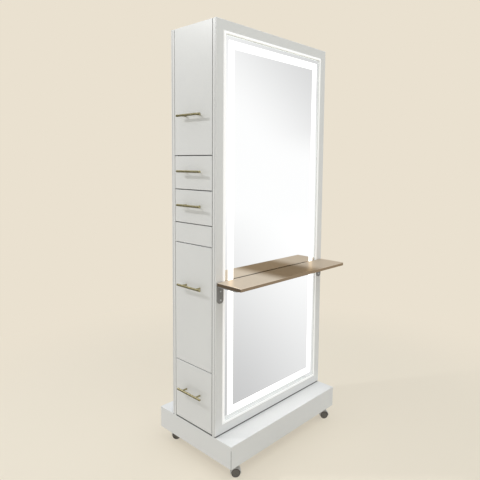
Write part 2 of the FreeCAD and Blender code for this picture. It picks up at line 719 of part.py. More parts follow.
def build_handle(label, level, turn):
    """A round bar on two posts."""
    body = doc.addObject("PartDesign::Body", f"{label}_body")
    bar = new_sketch(body, f"{label}_bar", "XZ_Plane")
    circle(bar, "-dims.handle_reach", "0", "dims.handle_diameter / 2")
    pad(body, bar, "dims.handle_length", middle=True)
    posts = new_sketch(body, f"{label}_posts", "YZ_Plane")
    for sign in ("-", ""):
        circle(posts, f"{sign}dims.handle_centres / 2", "0", "dims.post_diameter / 2")
    pad(body, posts, "dims.handle_reach", back=True)
    place(body, f"-{HALF_WIDTH}", z=level, turn=turn)
    publish(label, body)


def build_hinge_cup(name, level, turn):
    """A pressed cup in the door, its flange on the door's back, and the link that meets the arm."""
    along = Rotation(Vector(0, 1, 0), 90)
    y = f"{FRONT_SIDE} - dims.cup_centre"
    foot = f"-{FRONT_BACK} - dims.cup_depth"
    full = "dims.cup_depth + dims.cup_wall"
    outer = cylinder(f"{name}_outer", "dims.cup_radius - dims.cup_fit", full, foot, y, level,
                     along, turn)
    flange = box(f"{name}_flange", "dims.cup_wall", "dims.flange_width", "dims.flange_height",
                 f"-{FRONT_BACK}", f"{y} - dims.flange_width / 2",
                 f"{level} - dims.flange_height / 2", turn)
    inner = cylinder(f"{name}_inner", "dims.cup_radius - dims.cup_fit - dims.cup_wall", full,
                     f"{foot} + dims.cup_wall", y, level, along, turn)
    cup = cut(f"{name}_cup", fuse(f"{name}_blank", [outer, flange]), inner)
    link = box(f"{name}_link", "dims.cup_depth + dims.hinge_clear - dims.hinge_gap",
               "dims.hinge_arm_steel", "dims.hinge_arm_height", foot,
               f"{HINGE_NOSE_BACK} - dims.hinge_arm_steel",
               f"{level} - dims.hinge_arm_height / 2", turn)
    return fuse(name, [cup, link])


def build_hinge_plate(name, level, turn):
    """A plate on the side panel, with a cranked arm that reaches to the door."""
    body = doc.addObject("PartDesign::Body", name)
    plate = new_sketch(body, f"{name}_plate", "XY_Plane")
    front = "dims.hinge_plate_setback"
    rear = "(dims.hinge_plate_setback + dims.hinge_plate_length)"
    rectangle(plate, front, "-dims.hinge_plate_steel", rear, "0")
    pad(body, plate, "dims.hinge_plate_height", middle=True)
    arm = new_sketch(body, f"{name}_arm", "XY_Plane")
    near_side = "-dims.hinge_plate_steel"
    far_side = f"({near_side} - dims.hinge_arm_steel)"
    nose = "dims.hinge_nose"
    outline(arm, (
        (rear, near_side),
        (f"({nose} + dims.hinge_crank)", near_side),
        (nose, f"({near_side} - dims.hinge_crank)"),
        ("dims.hinge_clear", f"({near_side} - dims.hinge_crank)"),
        ("dims.hinge_clear", f"({far_side} - dims.hinge_crank)"),
        (f"({nose} + dims.hinge_bend)", f"({far_side} - dims.hinge_crank)"),
        (f"({nose} + dims.hinge_crank + dims.hinge_bend)", far_side),
        (rear, far_side),
    ))
    pad(body, arm, "dims.hinge_arm_height", middle=True)
    return place(body, f"-{FRONT_BACK}", PANEL_BACK, level, turn)


def build_doors():
    """Two hinged doors at each end, hung on the edge that lies clockwise of the handle."""
    plates = []
    doors = (
        ("upper", FOOT["door_upper"], UPPER_DOOR, "dims.upper_handle_rise"),
        ("lower", FOOT["door_lower"], "dims.lower_door",
         "(dims.lower_door - dims.lower_handle_drop)"),
    )
    for end, turn in ENDS:
        for name, foot, height, rise in doors:
            label = f"door_{name}_{end}"
            hinges = ("dims.hinge_inset", f"({height} - dims.hinge_inset)")
            build_front(f"{label}_panel", foot, height, turn, hinges)
            build_handle(f"{label}_handle", f"{foot} + {rise}", turn)
            cups = []
            for i, hinge in enumerate(hinges):
                level = f"({foot} + {hinge})"
                cups.append(build_hinge_cup(f"{label}_cup_{i}", level, turn))
                plates.append(build_hinge_plate(f"{label}_plate_{i}", level, turn))
            publish(f"{label}_hinge_cups", group(f"{label}_cups", cups))
    publish("hinge_plates", group("plates", plates))


def build_drawer_box(label, foot, height, turn):
    """Two sides grooved for runner and bottom, a front and a back board, and a bottom."""
    outer = f"({PANEL_BACK} - dims.drawer_gap)"
    inner = f"({outer} - dims.drawer_side)"
    runner_back = f"({PANEL_BACK} - dims.runner_thickness - dims.runner_fit)"
    slot_low = f"({height} / 2 - dims.runner_height / 2 - dims.runner_fit)"
    slot_high = f"({height} / 2 + dims.runner_height / 2 + dims.runner_fit)"
    groove_back = f"({inner} + dims.base_groove)"
    base_top = "(dims.base_rise + dims.drawer_base)"
    section = (
        (outer, "0"),
        (outer, slot_low),
        (runner_back, slot_low),
        (runner_back, slot_high),
        (outer, slot_high),
        (outer, height),
        (inner, height),
        (inner, base_top),
        (groove_back, base_top),
        (groove_back, "dims.base_rise"),
        (inner, "dims.base_rise"),
        (inner, "0"),
    )
    boards = []
    for side, sign in (("back", ""), ("front", "-")):
        body = doc.addObject("PartDesign::Body", f"{label}_{side}_side")
        sketch = new_sketch(body, f"{label}_{side}_section", "YZ_Plane")
        outline(sketch, tuple((f"{sign}{u}", v) for u, v in section))
        pad(body, sketch, DRAWER_LENGTH)
        boards.append(place(body, f"-{FRONT_BACK}", z=foot, turn=turn))
    boards.append(box(
        f"{label}_head", "dims.drawer_side", f"2 * {inner}", height, f"-{FRONT_BACK}",
        f"-{inner}", foot, turn))
    boards.append(box(
        f"{label}_tail", "dims.drawer_side", f"2 * {inner}", f"{height} - {base_top}",
        f"-{FRONT_BACK} + {DRAWER_LENGTH} - dims.drawer_side", f"-{inner}",
        f"{foot} + {base_top}", turn))
    boards.append(box(
        f"{label}_bottom", f"{DRAWER_LENGTH} - dims.drawer_side", f"2 * {groove_back}",
        "dims.drawer_base", f"-{FRONT_BACK} + dims.drawer_side", f"-{groove_back}",
        f"{foot} + dims.base_rise", turn))
    publish(label, group(f"{label}_boards", boards))


def build_drawers():
    """Three drawers at each end, each running on two rails."""
    rails = []
    drawers = (
        ("top", "dims.small_front", "dims.small_box", "dims.small_handle_rise"),
        ("middle", "dims.small_front", "dims.small_box", "dims.small_handle_rise"),
        ("bottom", "dims.bottom_front", "dims.deep_box", "dims.deep_handle_rise"),
    )
    for end, turn in ENDS:
        for name, height, box_height, rise in drawers:
            label = f"drawer_{name}_{end}"
            foot = FOOT[f"drawer_{name}"]
            build_front(f"{label}_front", foot, height, turn)
            build_handle(f"{label}_handle", f"{foot} + {height} / 2 + {rise}", turn)
            build_drawer_box(f"{label}_box", f"({foot} + dims.box_rise)", box_height, turn)
            level = f"{foot} + dims.box_rise + {box_height} / 2 - dims.runner_height / 2"
            for side, y in (("front", f"-{PANEL_BACK}"),
                            ("back", f"{PANEL_BACK} - dims.runner_thickness")):
                rails.append(box(
                    f"{label}_rail_{side}", f"{DRAWER_LENGTH} - 2 * dims.runner_setback",
                    "dims.runner_thickness", "dims.runner_height",
                    f"-{FRONT_BACK} + dims.runner_setback", y, level, turn))
    publish("runner_rails", group("rails", rails))


# ---------------------------------------------------------------- casters

def build_caster_plate(name, x, y):
    """A mounting plate with the fixed race below it, bored for the stem."""
    body = doc.addObject("PartDesign::Body", f"{name}_plate")
    half = "(dims.plate_size / 2)"
    sketch = new_sketch(body, f"{name}_plate_plan", "XY_Plane")
    rectangle(sketch, f"-{half}", f"-{half}", half, half)
    plate = pad(body, sketch, "dims.plate_steel")
    round_edges(body, f"{name}_plate_corners", plate, "dims.plate_corner",
                lambda edge: lies_beside(edge, "x", half) and lies_beside(edge, "y", half))
    race = new_sketch(body, f"{name}_plate_race", "XY_Plane")
    circle(race, "0", "0", "dims.race_radius")
    pad(body, race, "dims.upper_race", back=True)
    bore = new_sketch(body, f"{name}_plate_bore", "XY_Plane", "-dims.upper_race")
    circle(bore, "0", "0", "dims.stem_radius + dims.running_fit")
    pocket(body, bore, "dims.upper_race + dims.plate_steel", forward=True)
    return place(body, x, y, PLATE_FOOT)


def build_hood(name, x, y, heading):
    """Hood over both wheels, with a web between them, a neck, a race and the swivel stem."""
    body = doc.addObject("PartDesign::Body", f"{name}_hood_body")
    outer = "(dims.wheel_radius + dims.hood_gap + dims.hood_wall)"
    width = "(dims.web + 2 * dims.wheel_gap + 2 * dims.wheel_width)"
    race_top = f"({PLATE_FOOT} - dims.upper_race - dims.race_gap)"
    race_foot = f"({race_top} - dims.lower_race)"

    shell = new_sketch(body, f"{name}_shell", "XZ_Plane")
    circle(shell, "dims.caster_trail", "dims.wheel_radius", outer)
    pad(body, shell, width, middle=True)
    spine = new_sketch(body, f"{name}_spine", "XZ_Plane")
    rectangle(spine, "-dims.neck_radius", "dims.wheel_radius", "dims.caster_trail", race_foot)
    pad(body, spine, "dims.web", middle=True)
    neck = new_sketch(body, f"{name}_neck", "XZ_Plane")
    outline(neck, (
        ("0", "dims.neck_foot"),
        ("dims.neck_radius", "dims.neck_foot"),
        ("dims.neck_radius", race_foot),
        ("dims.race_radius", race_foot),
        ("dims.race_radius", race_top),
        ("dims.stem_radius", race_top),
        ("dims.stem_radius", "dims.caster_height - dims.stem_gap"),
        ("0", "dims.caster_height - dims.stem_gap"),
    ))
    revolve(body, neck, "V_Axis")

    for side, sign in (("near", ""), ("far", "-")):
        well = new_sketch(body, f"{name}_{side}_well", "XZ_Plane", f"{sign}{width} / 2")
        circle(well, "dims.caster_trail", "dims.wheel_radius", "dims.wheel_radius + dims.hood_gap")
        pocket(body, well, f"({width} - dims.web) / 2", forward=sign == "-")
    skirt = new_sketch(body, f"{name}_skirt", "XZ_Plane")
    rectangle(skirt, f"(dims.caster_trail - {outer} - dims.hood_wall)", "-dims.wheel_radius",
              f"(dims.caster_trail + {outer} + dims.hood_wall)", "dims.hood_skirt")
    pocket(body, skirt, f"{width} + dims.hood_wall", middle=True)
    bore = new_sketch(body, f"{name}_axle_bore", "XZ_Plane")
    circle(bore, "dims.caster_trail", "dims.wheel_radius", "dims.axle_radius + dims.running_fit")
    pocket(body, bore, f"{width}", middle=True)
    place(body, x, y, lay=heading)
    publish(f"{name}_hood", body)


def build_wheels(name, x, y, heading):
    """Two dished wheels pressed on one axle."""
    inner = "(dims.web / 2 + dims.wheel_gap)"
    outer = f"({inner} + dims.wheel_width)"
    bore = "(dims.axle_radius + dims.seat_fit)"
    x = f"{x} + dims.caster_trail * cos(dims.caster_heading)"
    y = f"{y} + dims.caster_trail * sin(dims.caster_heading)"
    pieces = []
    for side, sign in (("near", "-"), ("far", "")):
        body = doc.addObject("PartDesign::Body", f"{name}_{side}_wheel")
        sketch = new_sketch(body, f"{name}_{side}_section", "YZ_Plane")
        outline(sketch, tuple((f"{sign}{u}", v) for u, v in (
            (inner, bore),
            (inner, "dims.wheel_radius - dims.wheel_chamfer"),
            (f"({inner} + dims.wheel_chamfer)", "dims.wheel_radius"),
            (f"({outer} - dims.wheel_chamfer)", "dims.wheel_radius"),
            (outer, "dims.wheel_radius - dims.wheel_chamfer"),
            (outer, "dims.dish_radius"),
            (f"({outer} - dims.dish_depth)", "dims.dish_radius"),
            (f"({outer} - dims.dish_depth)", bore),
        )))
        revolve(body, sketch, "H_Axis")
        pieces.append(place(body, x, y, "dims.wheel_radius", lay=heading))
    axle = doc.addObject("PartDesign::Body", f"{name}_axle")
    sketch = new_sketch(axle, f"{name}_axle_end", "XZ_Plane")
    circle(sketch, "0", "0", "dims.axle_radius")
    pad(axle, sketch, f"2 * {outer}", middle=True)
    pieces.append(place(axle, x, y, "dims.wheel_radius", lay=heading))
    publish(f"{name}_wheels", group(f"{name}_wheel_set", pieces))


def build_casters():
    """Four swivel casters, all trailing the same way at rest."""
    heading = Rotation(Vector(0, 0, 1), value("dims.caster_heading"))
    plates = []
    for name, x, y in caster_points():
        plates.append(build_caster_plate(name, x, y))
        build_hood(name, x, y, heading)
        build_wheels(name, x, y, heading)
    publish("caster_plates", group("caster_mounts", plates))


# ---------------------------------------------------------------- export

build_plinth()
build_carcass()
build_mirrors()
build_counter()
build_bracket_screws()
build_doors()
build_drawers()
build_casters()
doc.recompute()

for obj in doc.Objects:
    if "Invalid" in obj.State or "Error" in obj.State:
        raise RuntimeError(f"{obj.Name} failed: {obj.State}")
for obj in published:
    if obj.Shape.isNull() or not obj.Shape.isValid():
        raise RuntimeError(f"{obj.Label} has no valid shape")

os.makedirs("parts", exist_ok=True)
for obj in published:
    obj.Shape.exportStep(f"parts/{obj.Label}.step")
print(len(published), "sub-parts,", sum(len(obj.Shape.Solids) for obj in published), "solids")
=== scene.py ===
"""Finishes, small fittings, light and stage for a double sided salon station."""

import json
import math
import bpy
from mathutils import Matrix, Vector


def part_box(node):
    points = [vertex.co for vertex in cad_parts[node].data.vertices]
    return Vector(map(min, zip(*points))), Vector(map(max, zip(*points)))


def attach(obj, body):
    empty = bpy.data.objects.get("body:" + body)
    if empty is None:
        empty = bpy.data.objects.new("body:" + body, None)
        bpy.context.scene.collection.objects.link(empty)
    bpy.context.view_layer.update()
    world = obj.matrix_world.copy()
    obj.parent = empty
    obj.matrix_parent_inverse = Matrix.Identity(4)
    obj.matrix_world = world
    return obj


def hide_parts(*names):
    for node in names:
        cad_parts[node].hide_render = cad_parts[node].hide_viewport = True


bl_info = {
    "name": "Salon Station",
    "version": (1, 0, 0),
    "blender": (4, 5, 0),
    "location": "3D View > Sidebar > Station",
    "description": "Finishes, small fittings and a studio stage for a double sided salon station",
    "category": "Object",
}

from functools import partial

import bmesh
import bpy
from bpy.props import FloatProperty, FloatVectorProperty, IntProperty, PointerProperty
from mathutils import Matrix, Vector

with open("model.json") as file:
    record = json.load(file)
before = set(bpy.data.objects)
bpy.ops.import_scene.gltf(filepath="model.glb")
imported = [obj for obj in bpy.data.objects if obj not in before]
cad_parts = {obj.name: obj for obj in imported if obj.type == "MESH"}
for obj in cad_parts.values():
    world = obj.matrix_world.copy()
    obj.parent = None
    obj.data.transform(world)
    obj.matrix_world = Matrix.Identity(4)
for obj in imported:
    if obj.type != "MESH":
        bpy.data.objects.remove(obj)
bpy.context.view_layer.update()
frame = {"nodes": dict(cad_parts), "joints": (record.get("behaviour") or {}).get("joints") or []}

CABINET_Y = sum(corner.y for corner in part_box("top_board")) / 2
ENDS = ("left", "right")
FACES = ("front", "back")
DOORS = tuple(f"door_{level}_{end}" for level in ("upper", "lower") for end in ENDS)
DRAWERS = tuple(f"drawer_{level}_{end}" for level in ("top", "middle", "bottom") for end in ENDS)
CASTERS = tuple(f"caster_{face}_{end}" for face in FACES for end in ENDS)

BLACK = (0.0, 0.0, 0.0, 1.0)
SQUARE_ON = 0.9  # facing an axis at least this squarely, a surface lies across it
HORIZON = 1.04  # the grey that mirrors see where the floor meets the backdrop
FLOOR_RADIUS, FLOOR_SEGMENTS = 40.0, 96

# Each lamp's direction from the station, its distance and width in metres, and its colour.
LAMPS = {
    "key": ((-0.61, 0.53, 0.58), 3.6, 0.16, (0.98, 0.99, 1.0)),
    "top": ((-0.05, -0.60, 1.0), 5.2, 3.6, (0.97, 1.0, 0.99)),
}


def outwards(piece):
    """The direction along X in which an end's pieces face."""
    return -1 if piece.endswith("left") else 1


def joint_of(body):
    """The joint that carries a body."""
    return next(joint for joint in frame["joints"] if joint["child"] == body)


# ------------ shader maths

class Graph:
    """An emptied node tree, with one way to add a node."""

    def __init__(self, tree):
        self.tree = tree
        tree.nodes.clear()

    def add(self, kind, settings=None, inputs=None, out=0):
        """Add a node: its settings first, then its sockets. Returns one of its outputs."""
        node = self.tree.nodes.new(kind)
        for name, setting in (settings or {}).items():
            setattr(node, name, setting)
        for name, given in (inputs or {}).items():
            if isinstance(given, Signal):
                self.tree.links.new(given.socket, node.inputs[name])
            else:
                node.inputs[name].default_value = given
        return Signal(self, node.outputs[out]) if node.outputs else node

    def mix(self, share, first, second):
        """A blend of two colours."""
        return self.add("ShaderNodeMix", {"data_type": "RGBA"},
                        {0: share, 6: first, 7: second}, out=2)

    def noise(self, point, scale, detail=2.0, roughness=0.5):
        """Smooth noise from 0 to 1, whose features are 1 / scale of a metre across."""
        return self.add("ShaderNodeTexNoise", None,
                        {"Vector": point, "Scale": scale, "Detail": detail,
                         "Roughness": roughness})

    def vector_math(self, operation, *values, out=0):
        """One Vector Math node. Its second output holds a number."""
        return self.add("ShaderNodeVectorMath", {"operation": operation},
                        dict(enumerate(values)), out)

    def stretch(self, point, factors):
        """A point with each axis multiplied by its own factor."""
        return self.vector_math("MULTIPLY", point, factors)

    def axes(self, vector):
        """The three numbers of a vector."""
        first = self.add("ShaderNodeSeparateXYZ", None, {0: vector})
        node = first.socket.node
        return tuple(Signal(self, node.outputs[i]) for i in range(3))

    def outward(self, axis):
        """How far the surface faces towards an axis of the object, from -1 to 1."""
        return self.axes(self.add("ShaderNodeTexCoord", out=1))[axis]

    def across(self, axis):
        """1 where the surface lies across an axis of the object, 0 elsewhere."""
        return abs(self.outward(axis)).over(SQUARE_ON)

    def bump(self, height, metres):
        """A normal bent by a height, whose full range is given in metres."""
        return self.add("ShaderNodeBump", None,
                        {"Height": height, "Distance": metres, "Strength": 1.0})


class Signal:
    """A socket's value. Arithmetic on it adds Math nodes."""

    def __init__(self, graph, socket):
        self.graph = graph
        self.socket = socket

    def math(self, operation, *values):
        """One Math node."""
        return self.graph.add("ShaderNodeMath", {"operation": operation},
                              dict(enumerate(values)))

    def __add__(self, other):
        return self.math("ADD", self, other)

    __radd__ = __add__

    def __sub__(self, other):
        return self.math("SUBTRACT", self, other)

    def __rsub__(self, other):
        return self.math("SUBTRACT", other, self)

    def __mul__(self, other):
        return self.math("MULTIPLY", self, other)

    __rmul__ = __mul__

    def __truediv__(self, other):
        return self.math("DIVIDE", self, other)

    def __rtruediv__(self, other):
        return self.math("DIVIDE", other, self)

    def __abs__(self):
        return self.math("ABSOLUTE", self)

    def power(self, exponent):
        """The value raised to an exponent."""
        return self.math("POWER", self, exponent)

    def fraction(self):
        """The part after the decimal point."""
        return self.math("FRACT", self)

    def over(self, edge):
        """1 where the value is over an edge, 0 elsewhere."""
        return self.math("GREATER_THAN", self, edge)

    def most(self, other):
        """The larger of two values."""
        return self.math("MAXIMUM", self, other)

    def between(self, low, high):
        """0 up to low and 1 from high on, with a smooth step in between."""
        return self.graph.add(
            "ShaderNodeMapRange", {"interpolation_type": "SMOOTHSTEP", "clamp": True},
            {"Value": self, "From Min": low, "From Max": high})


def new_material(name):
    """An empty material, its graph and the point on the piece in metres."""
    material = bpy.data.materials.new(name)
    material.use_nodes = True
    graph = Graph(material.node_tree)
    point = graph.add("ShaderNodeTexCoord", out=3)
    return material, graph, point


def surface(material, graph, **sockets):
    """Finish a material with a Principled shader. Socket names are written with underscores."""
    inputs = {name.replace("_", " "): given for name, given in sockets.items()}
    shader = graph.add("ShaderNodeBsdfPrincipled", None, inputs)
    graph.add("ShaderNodeOutputMaterial", None, {"Surface": shader})
    return material


def shade(colour, factor):
    """A colour made lighter or darker, with full alpha."""
    return (*(min(1.0, channel * factor) for channel in colour), 1.0)


# ------------ finishes

def past_glass(graph, point, face):
    """Distance from a mirror's edge to a point beside it, in metres."""
    low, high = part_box(f"mirror_{face}")
    centre = (low + high) / 2
    half = (high - low) / 2
    x, _, z = graph.axes(point)
    return (abs(x - centre.x) - half.x).most(abs(z - centre.z) - half.z)


def painted_glow(graph, share, colour, strength):
    """Emission sockets for a painted glow: light from a light band beside a surface, painted on
    as emission though the surface is no lamp.
    """
    return {"Emission_Color": graph.mix(share, BLACK, shade(colour, 1.0)),
            "Emission_Strength": strength}


def sprayed_lacquer(finishes, name="satin_lacquer", joints_and_painted_shade=None, lit=None, joint_and_shade_tone=1.0):
    """Satin lacquer on board: orange peel, faint clouding, and rubbed patches.

    One mask gives where a dark grey is painted: the board's unsprayed grey at dark joints, and
    painted shade in the gaps beside the fronts and along the cabinet's foot, darkened further by
    a tone. lit gives where a painted glow stands in for light that a band spills over the
    lacquer.
    """
    material, graph, point = new_material(name)
    cloud = graph.noise(point, 2.3, 3.0)
    fine = graph.noise(point, 38.0, 4.0)
    colour = graph.mix(cloud.between(0.3, 0.7), shade(finishes.lacquer, 0.985),
                       shade(finishes.lacquer, 1.0))
    colour = graph.mix(fine.between(0.58, 0.8) * 0.35, colour, shade(finishes.lacquer, 0.96))
    if joints_and_painted_shade:
        # Dark grey: a real joint in places, and painted shade in the gaps and at the cabinet's
        # foot.
        colour = graph.mix(joints_and_painted_shade(graph, point), colour, shade(finishes.primer_and_shade, joint_and_shade_tone))
    peel = graph.noise(point, 420.0, 2.0)
    wave = graph.noise(point, 26.0, 1.0)
    # Painted glow: emission on lacquer, standing in for light from a band beside it.
    sockets = painted_glow(graph, lit(graph, point), finishes.light, finishes.painted_spill) if lit else {}
    return surface(material, graph, Base_Color=colour,
                   Roughness=0.30 + cloud * 0.08 + fine * 0.05,
                   Normal=graph.bump(peel * 0.6 + wave * 0.4, finishes.peel),
                   Coat_Roughness=0.12, Coat_Weight=0.25, IOR=1.5, **sockets)


def matt_melamine(finishes, name="matt_melamine", shaded_edges=False):
    """Melamine-faced board: a pebbled print with pale flecks, and a dark grey painted on its ends
    as shade for the gaps between the fronts.
    """
    material, graph, point = new_material(name)
    pebble = graph.noise(point, 900.0, 2.0)
    cloud = graph.noise(point, 4.0, 3.0)
    fleck = graph.noise(point, 260.0, 1.0).between(0.66, 0.74)
    colour = graph.mix(cloud, shade(finishes.melamine, 0.975), shade(finishes.melamine, 1.0))
    colour = graph.mix(fleck * 0.4, colour, shade(finishes.melamine, 0.93))
    if shaded_edges:
        # Painted shade: ends facing the fronts darkened, so that the gaps between fronts look
        # dark.
        colour = graph.mix(graph.across(0), colour, shade(finishes.edging, 1.0))
    return surface(material, graph, Base_Color=colour, Roughness=0.50 + pebble * 0.12,
                   Normal=graph.bump(pebble, 0.00002))


def lit_mirror(finishes, face):
    """Silvered glass with a frosted band, brightest over its light strip, and a glowing edge."""
    material, graph, point = new_material(f"lit_mirror_{face}")
    ground_glass = (0.36, 0.52, 0.46, 1.0)
    frosted_glass = (0.84, 0.85, 0.84, 1.0)
    least_bevel = 0.3
    slope = 0.36 * finishes.band
    inwards = 0.0 - past_glass(graph, point, face)
    begin = finishes.margin
    end = begin + finishes.band
    squarely = abs(graph.outward(1))
    sheet = squarely.over(SQUARE_ON)
    bevel = squarely.over(least_bevel) * (1.0 - sheet)

    def strip(soft):
        """1 along the band, with edges of a given softness."""
        return inwards.between(begin, begin + soft) * (1.0 - inwards.between(end - soft, end))

    band = strip(finishes.frost_edge) * sheet

    wiped = graph.noise(graph.stretch(point, (2.0, 1.0, 14.0)), 1.6, 4.0).between(0.45, 0.8)
    frost = graph.noise(point, 1400.0, 2.0)
    haze = graph.noise(point, 5.0, 2.0)
    colour = graph.mix(sheet, ground_glass, shade(finishes.silver, 1.0))
    colour = graph.mix(band, colour, frosted_glass)
    mirrored = sheet * (1.0 - band)
    roughness = 0.40 + frost * 0.1
    roughness = roughness * (1.0 - mirrored) + mirrored * (0.008 + wiped * 0.012)
    lit = graph.mix(strip(slope), shade(finishes.light, finishes.band_edge),
                    shade(finishes.light, 1.0))
    lit = graph.mix(haze * 0.2, lit, shade(finishes.light, 0.9))
    glow = graph.mix(bevel, BLACK, shade(finishes.light, finishes.edge_light))
    glow = graph.mix(band, glow, lit)
    return surface(material, graph, Base_Color=colour, Metallic=mirrored, Roughness=roughness,
                   Emission_Color=glow, Emission_Strength=finishes.glow)


def lit_acrylic(finishes):
    """Opal acrylic, lit from behind, with its sawn edges a little darker."""
    material, graph, point = new_material("opal_acrylic")
    least_face = 0.7
    face = abs(graph.outward(1)).over(least_face)
    haze = graph.noise(point, 9.0, 2.0)
    lit = graph.mix(haze, shade(finishes.light, 0.97), shade(finishes.light, 1.0))
    glow = graph.mix(face, shade(finishes.light, 0.6), lit)
    return surface(material, graph, Base_Color=(0.85, 0.85, 0.84, 1.0),
                   Roughness=0.32 + haze * 0.06, Emission_Color=glow,
                   Emission_Strength=finishes.glow)


def brushed_metal(name, colour, rim, along, roughness, contrast=0.16, groove=0.000006,
                  ends=0.4, top=None, lit=None):
    """Metal brushed along one axis: fine lines of tone, sheen and relief.

    rim is its tint at a glancing angle, and lit gives its emission sockets, which paint a glow.
    ends and top are painted tones: ends lightens or darkens its end faces as painted highlight or
    shade, and top lightens its upward-facing side as a painted highlight.
    """
    material, graph, point = new_material(name)
    factors = [900.0, 900.0, 900.0]
    factors[along] = 14.0
    lines = graph.noise(graph.stretch(point, tuple(factors)), 1.0, 3.0, 0.6)
    handled = graph.noise(point, 22.0, 3.0)
    tone = graph.mix(lines, shade(colour, 1.0 - contrast), shade(colour, 1.0 + contrast / 2))
    tone = graph.mix(handled.between(0.55, 0.85) * 0.3, tone, shade(colour, 0.8))
    if top:
        # Painted highlight: the upward-facing side made lighter, as if lit from above.
        tone = graph.mix(graph.outward(2).between(0.45, 0.85), tone, shade(colour, top))
    # Painted highlight or shade: end faces made lighter or darker.
    tone = graph.mix(graph.across(along), tone, shade(colour, ends))
    return surface(material, graph, Base_Color=tone, Metallic=1.0,
                   Roughness=roughness + lines * 0.10 + handled * 0.05,
                   Specular_Tint=shade(rim, 1.0), Normal=graph.bump(lines, groove),
                   **(lit(graph, point) if lit else {}))


def plated_steel(finishes):
    """Zinc or nickel plate: bright, with faint clouds and a fine grain."""
    material, graph, point = new_material("plated_steel")
    cloud = graph.noise(point, 60.0, 3.0)
    grain = graph.noise(point, 1500.0, 2.0)
    colour = graph.mix(cloud, shade(finishes.steel, 0.88), shade(finishes.steel, 1.08))
    return surface(material, graph, Base_Color=colour, Metallic=1.0,
                   Roughness=0.24 + cloud * 0.14, Normal=graph.bump(grain, 0.000004))


def powder_coat(name, colour, roughness=0.38, grain_height=0.00003):
    """A baked coat with its pebbled grain and rubbed high spots."""
    material, graph, point = new_material(name)
    grain = graph.noise(point, 1100.0, 2.0)
    rub = graph.noise(point, 34.0, 4.0)
    tone = graph.mix(rub.between(0.35, 0.75), shade(colour, 0.9), shade(colour, 1.08))
    tone = graph.mix(grain.between(0.6, 0.9) * 0.5, tone, shade(colour, 1.25))
    return surface(material, graph, Base_Color=tone, Roughness=roughness + rub * 0.12,
                   Normal=graph.bump(grain, grain_height))


def moulded_plastic(name, colour):
    """Spark-textured moulding with faint flow marks."""
    material, graph, point = new_material(name)
    spark = graph.noise(point, 1300.0, 1.0)
    flow = graph.noise(graph.stretch(point, (1.0, 1.0, 5.0)), 18.0, 2.0)
    tone = graph.mix(flow, shade(colour, 0.93), shade(colour, 1.05))
    return surface(material, graph, Base_Color=tone, Roughness=0.42 + spark * 0.1,
                   Normal=graph.bump(spark, 0.000015))


def soft_tyre(finishes):
    """Dark soft tyre, greyed with dust in its pores."""
    material, graph, point = new_material("soft_tyre")
    dusty = (0.20, 0.185, 0.165, 1.0)
    pores = graph.noise(point, 700.0, 3.0)
    dust = graph.noise(point, 55.0, 4.0)
    tone = graph.mix(dust.between(0.4, 0.75) * 0.5, shade(finishes.tyre, 1.0), dusty)
    return surface(material, graph, Base_Color=tone, Roughness=0.62 + dust * 0.2,
                   Normal=graph.bump(pores, 0.00004))


def cut_diodes(finishes):
    """Flexible light strip: a white band with a row of yellow diodes."""
    material, graph, point = new_material("light_strip")
    tape, phosphor = (0.80, 0.80, 0.78, 1.0), (0.85, 0.70, 0.16, 1.0)
    dim = (0.10, 0.10, 0.10, 1.0)
    x, _, z = graph.axes(point)
    from_middle = abs(((x + z) * (1.0 / finishes.diode_pitch)).fraction() - 0.5)
    diode = 1.0 - from_middle.between(0.14, 0.17)
    tone = graph.mix(diode, tape, phosphor)
    glow = graph.mix(diode, dim, shade(finishes.light, 1.0))
    return surface(material, graph, Base_Color=tone, Roughness=0.35,
                   Emission_Color=glow, Emission_Strength=finishes.glow)


def coat(material, *nodes):
    """Give CAD nodes a finish."""
    for name in nodes:
        node = frame["nodes"][name]
        if not node.material_slots:
            node.data.materials.append(material)
        for slot in node.material_slots:
            slot.material = material


# ------------ mesh helpers

def turned(mesh, profile, centre, axis, material_index=0, segments=48):
    """Add to a mesh a profile of (place along the axis, radius), turned round the axis."""
    axis = Vector(axis).normalized()
    side = axis.orthogonal().normalized()
    other = axis.cross(side)
    spokes = [side * math.cos(turn) + other * math.sin(turn)
              for turn in (math.tau * i / segments for i in range(segments))]
    rings = []
    for place, radius in profile:
        middle = Vector(centre) + axis * place
        rings.append([mesh.verts.new(middle + spoke * radius)
                      for spoke in (spokes if radius else spokes[:1])])
    for low, high in zip(rings, rings[1:]):
        for i in range(segments):
            following = (i + 1) % segments
            corners = [low[i % len(low)], low[following % len(low)],
                       high[following % len(high)], high[i % len(high)]]
            unique = list(dict.fromkeys(corners))
            if len(unique) > 2:
                mesh.faces.new(unique).material_index = material_index


def object_from(mesh, name):
    """Turn a mesh in the making into an object of the scene."""
    data = bpy.data.meshes.new(name)
    mesh.to_mesh(data)
    mesh.free()
    made = bpy.data.objects.new(name, data)
    bpy.context.scene.collection.objects.link(made)
    return made


def piece_from(mesh, name, materials, body):
    """Make a piece that rides on a body, with its broad faces smooth and its edges sharp."""
    sharp_from = math.radians(32)
    bmesh.ops.recalc_face_normals(mesh, faces=mesh.faces)
    piece = object_from(mesh, name)
    piece.data.shade_smooth()
    piece.data.set_sharp_from_angle(angle=sharp_from)
    for material in materials:
        piece.data.materials.append(material)
    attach(piece, body)
    return piece


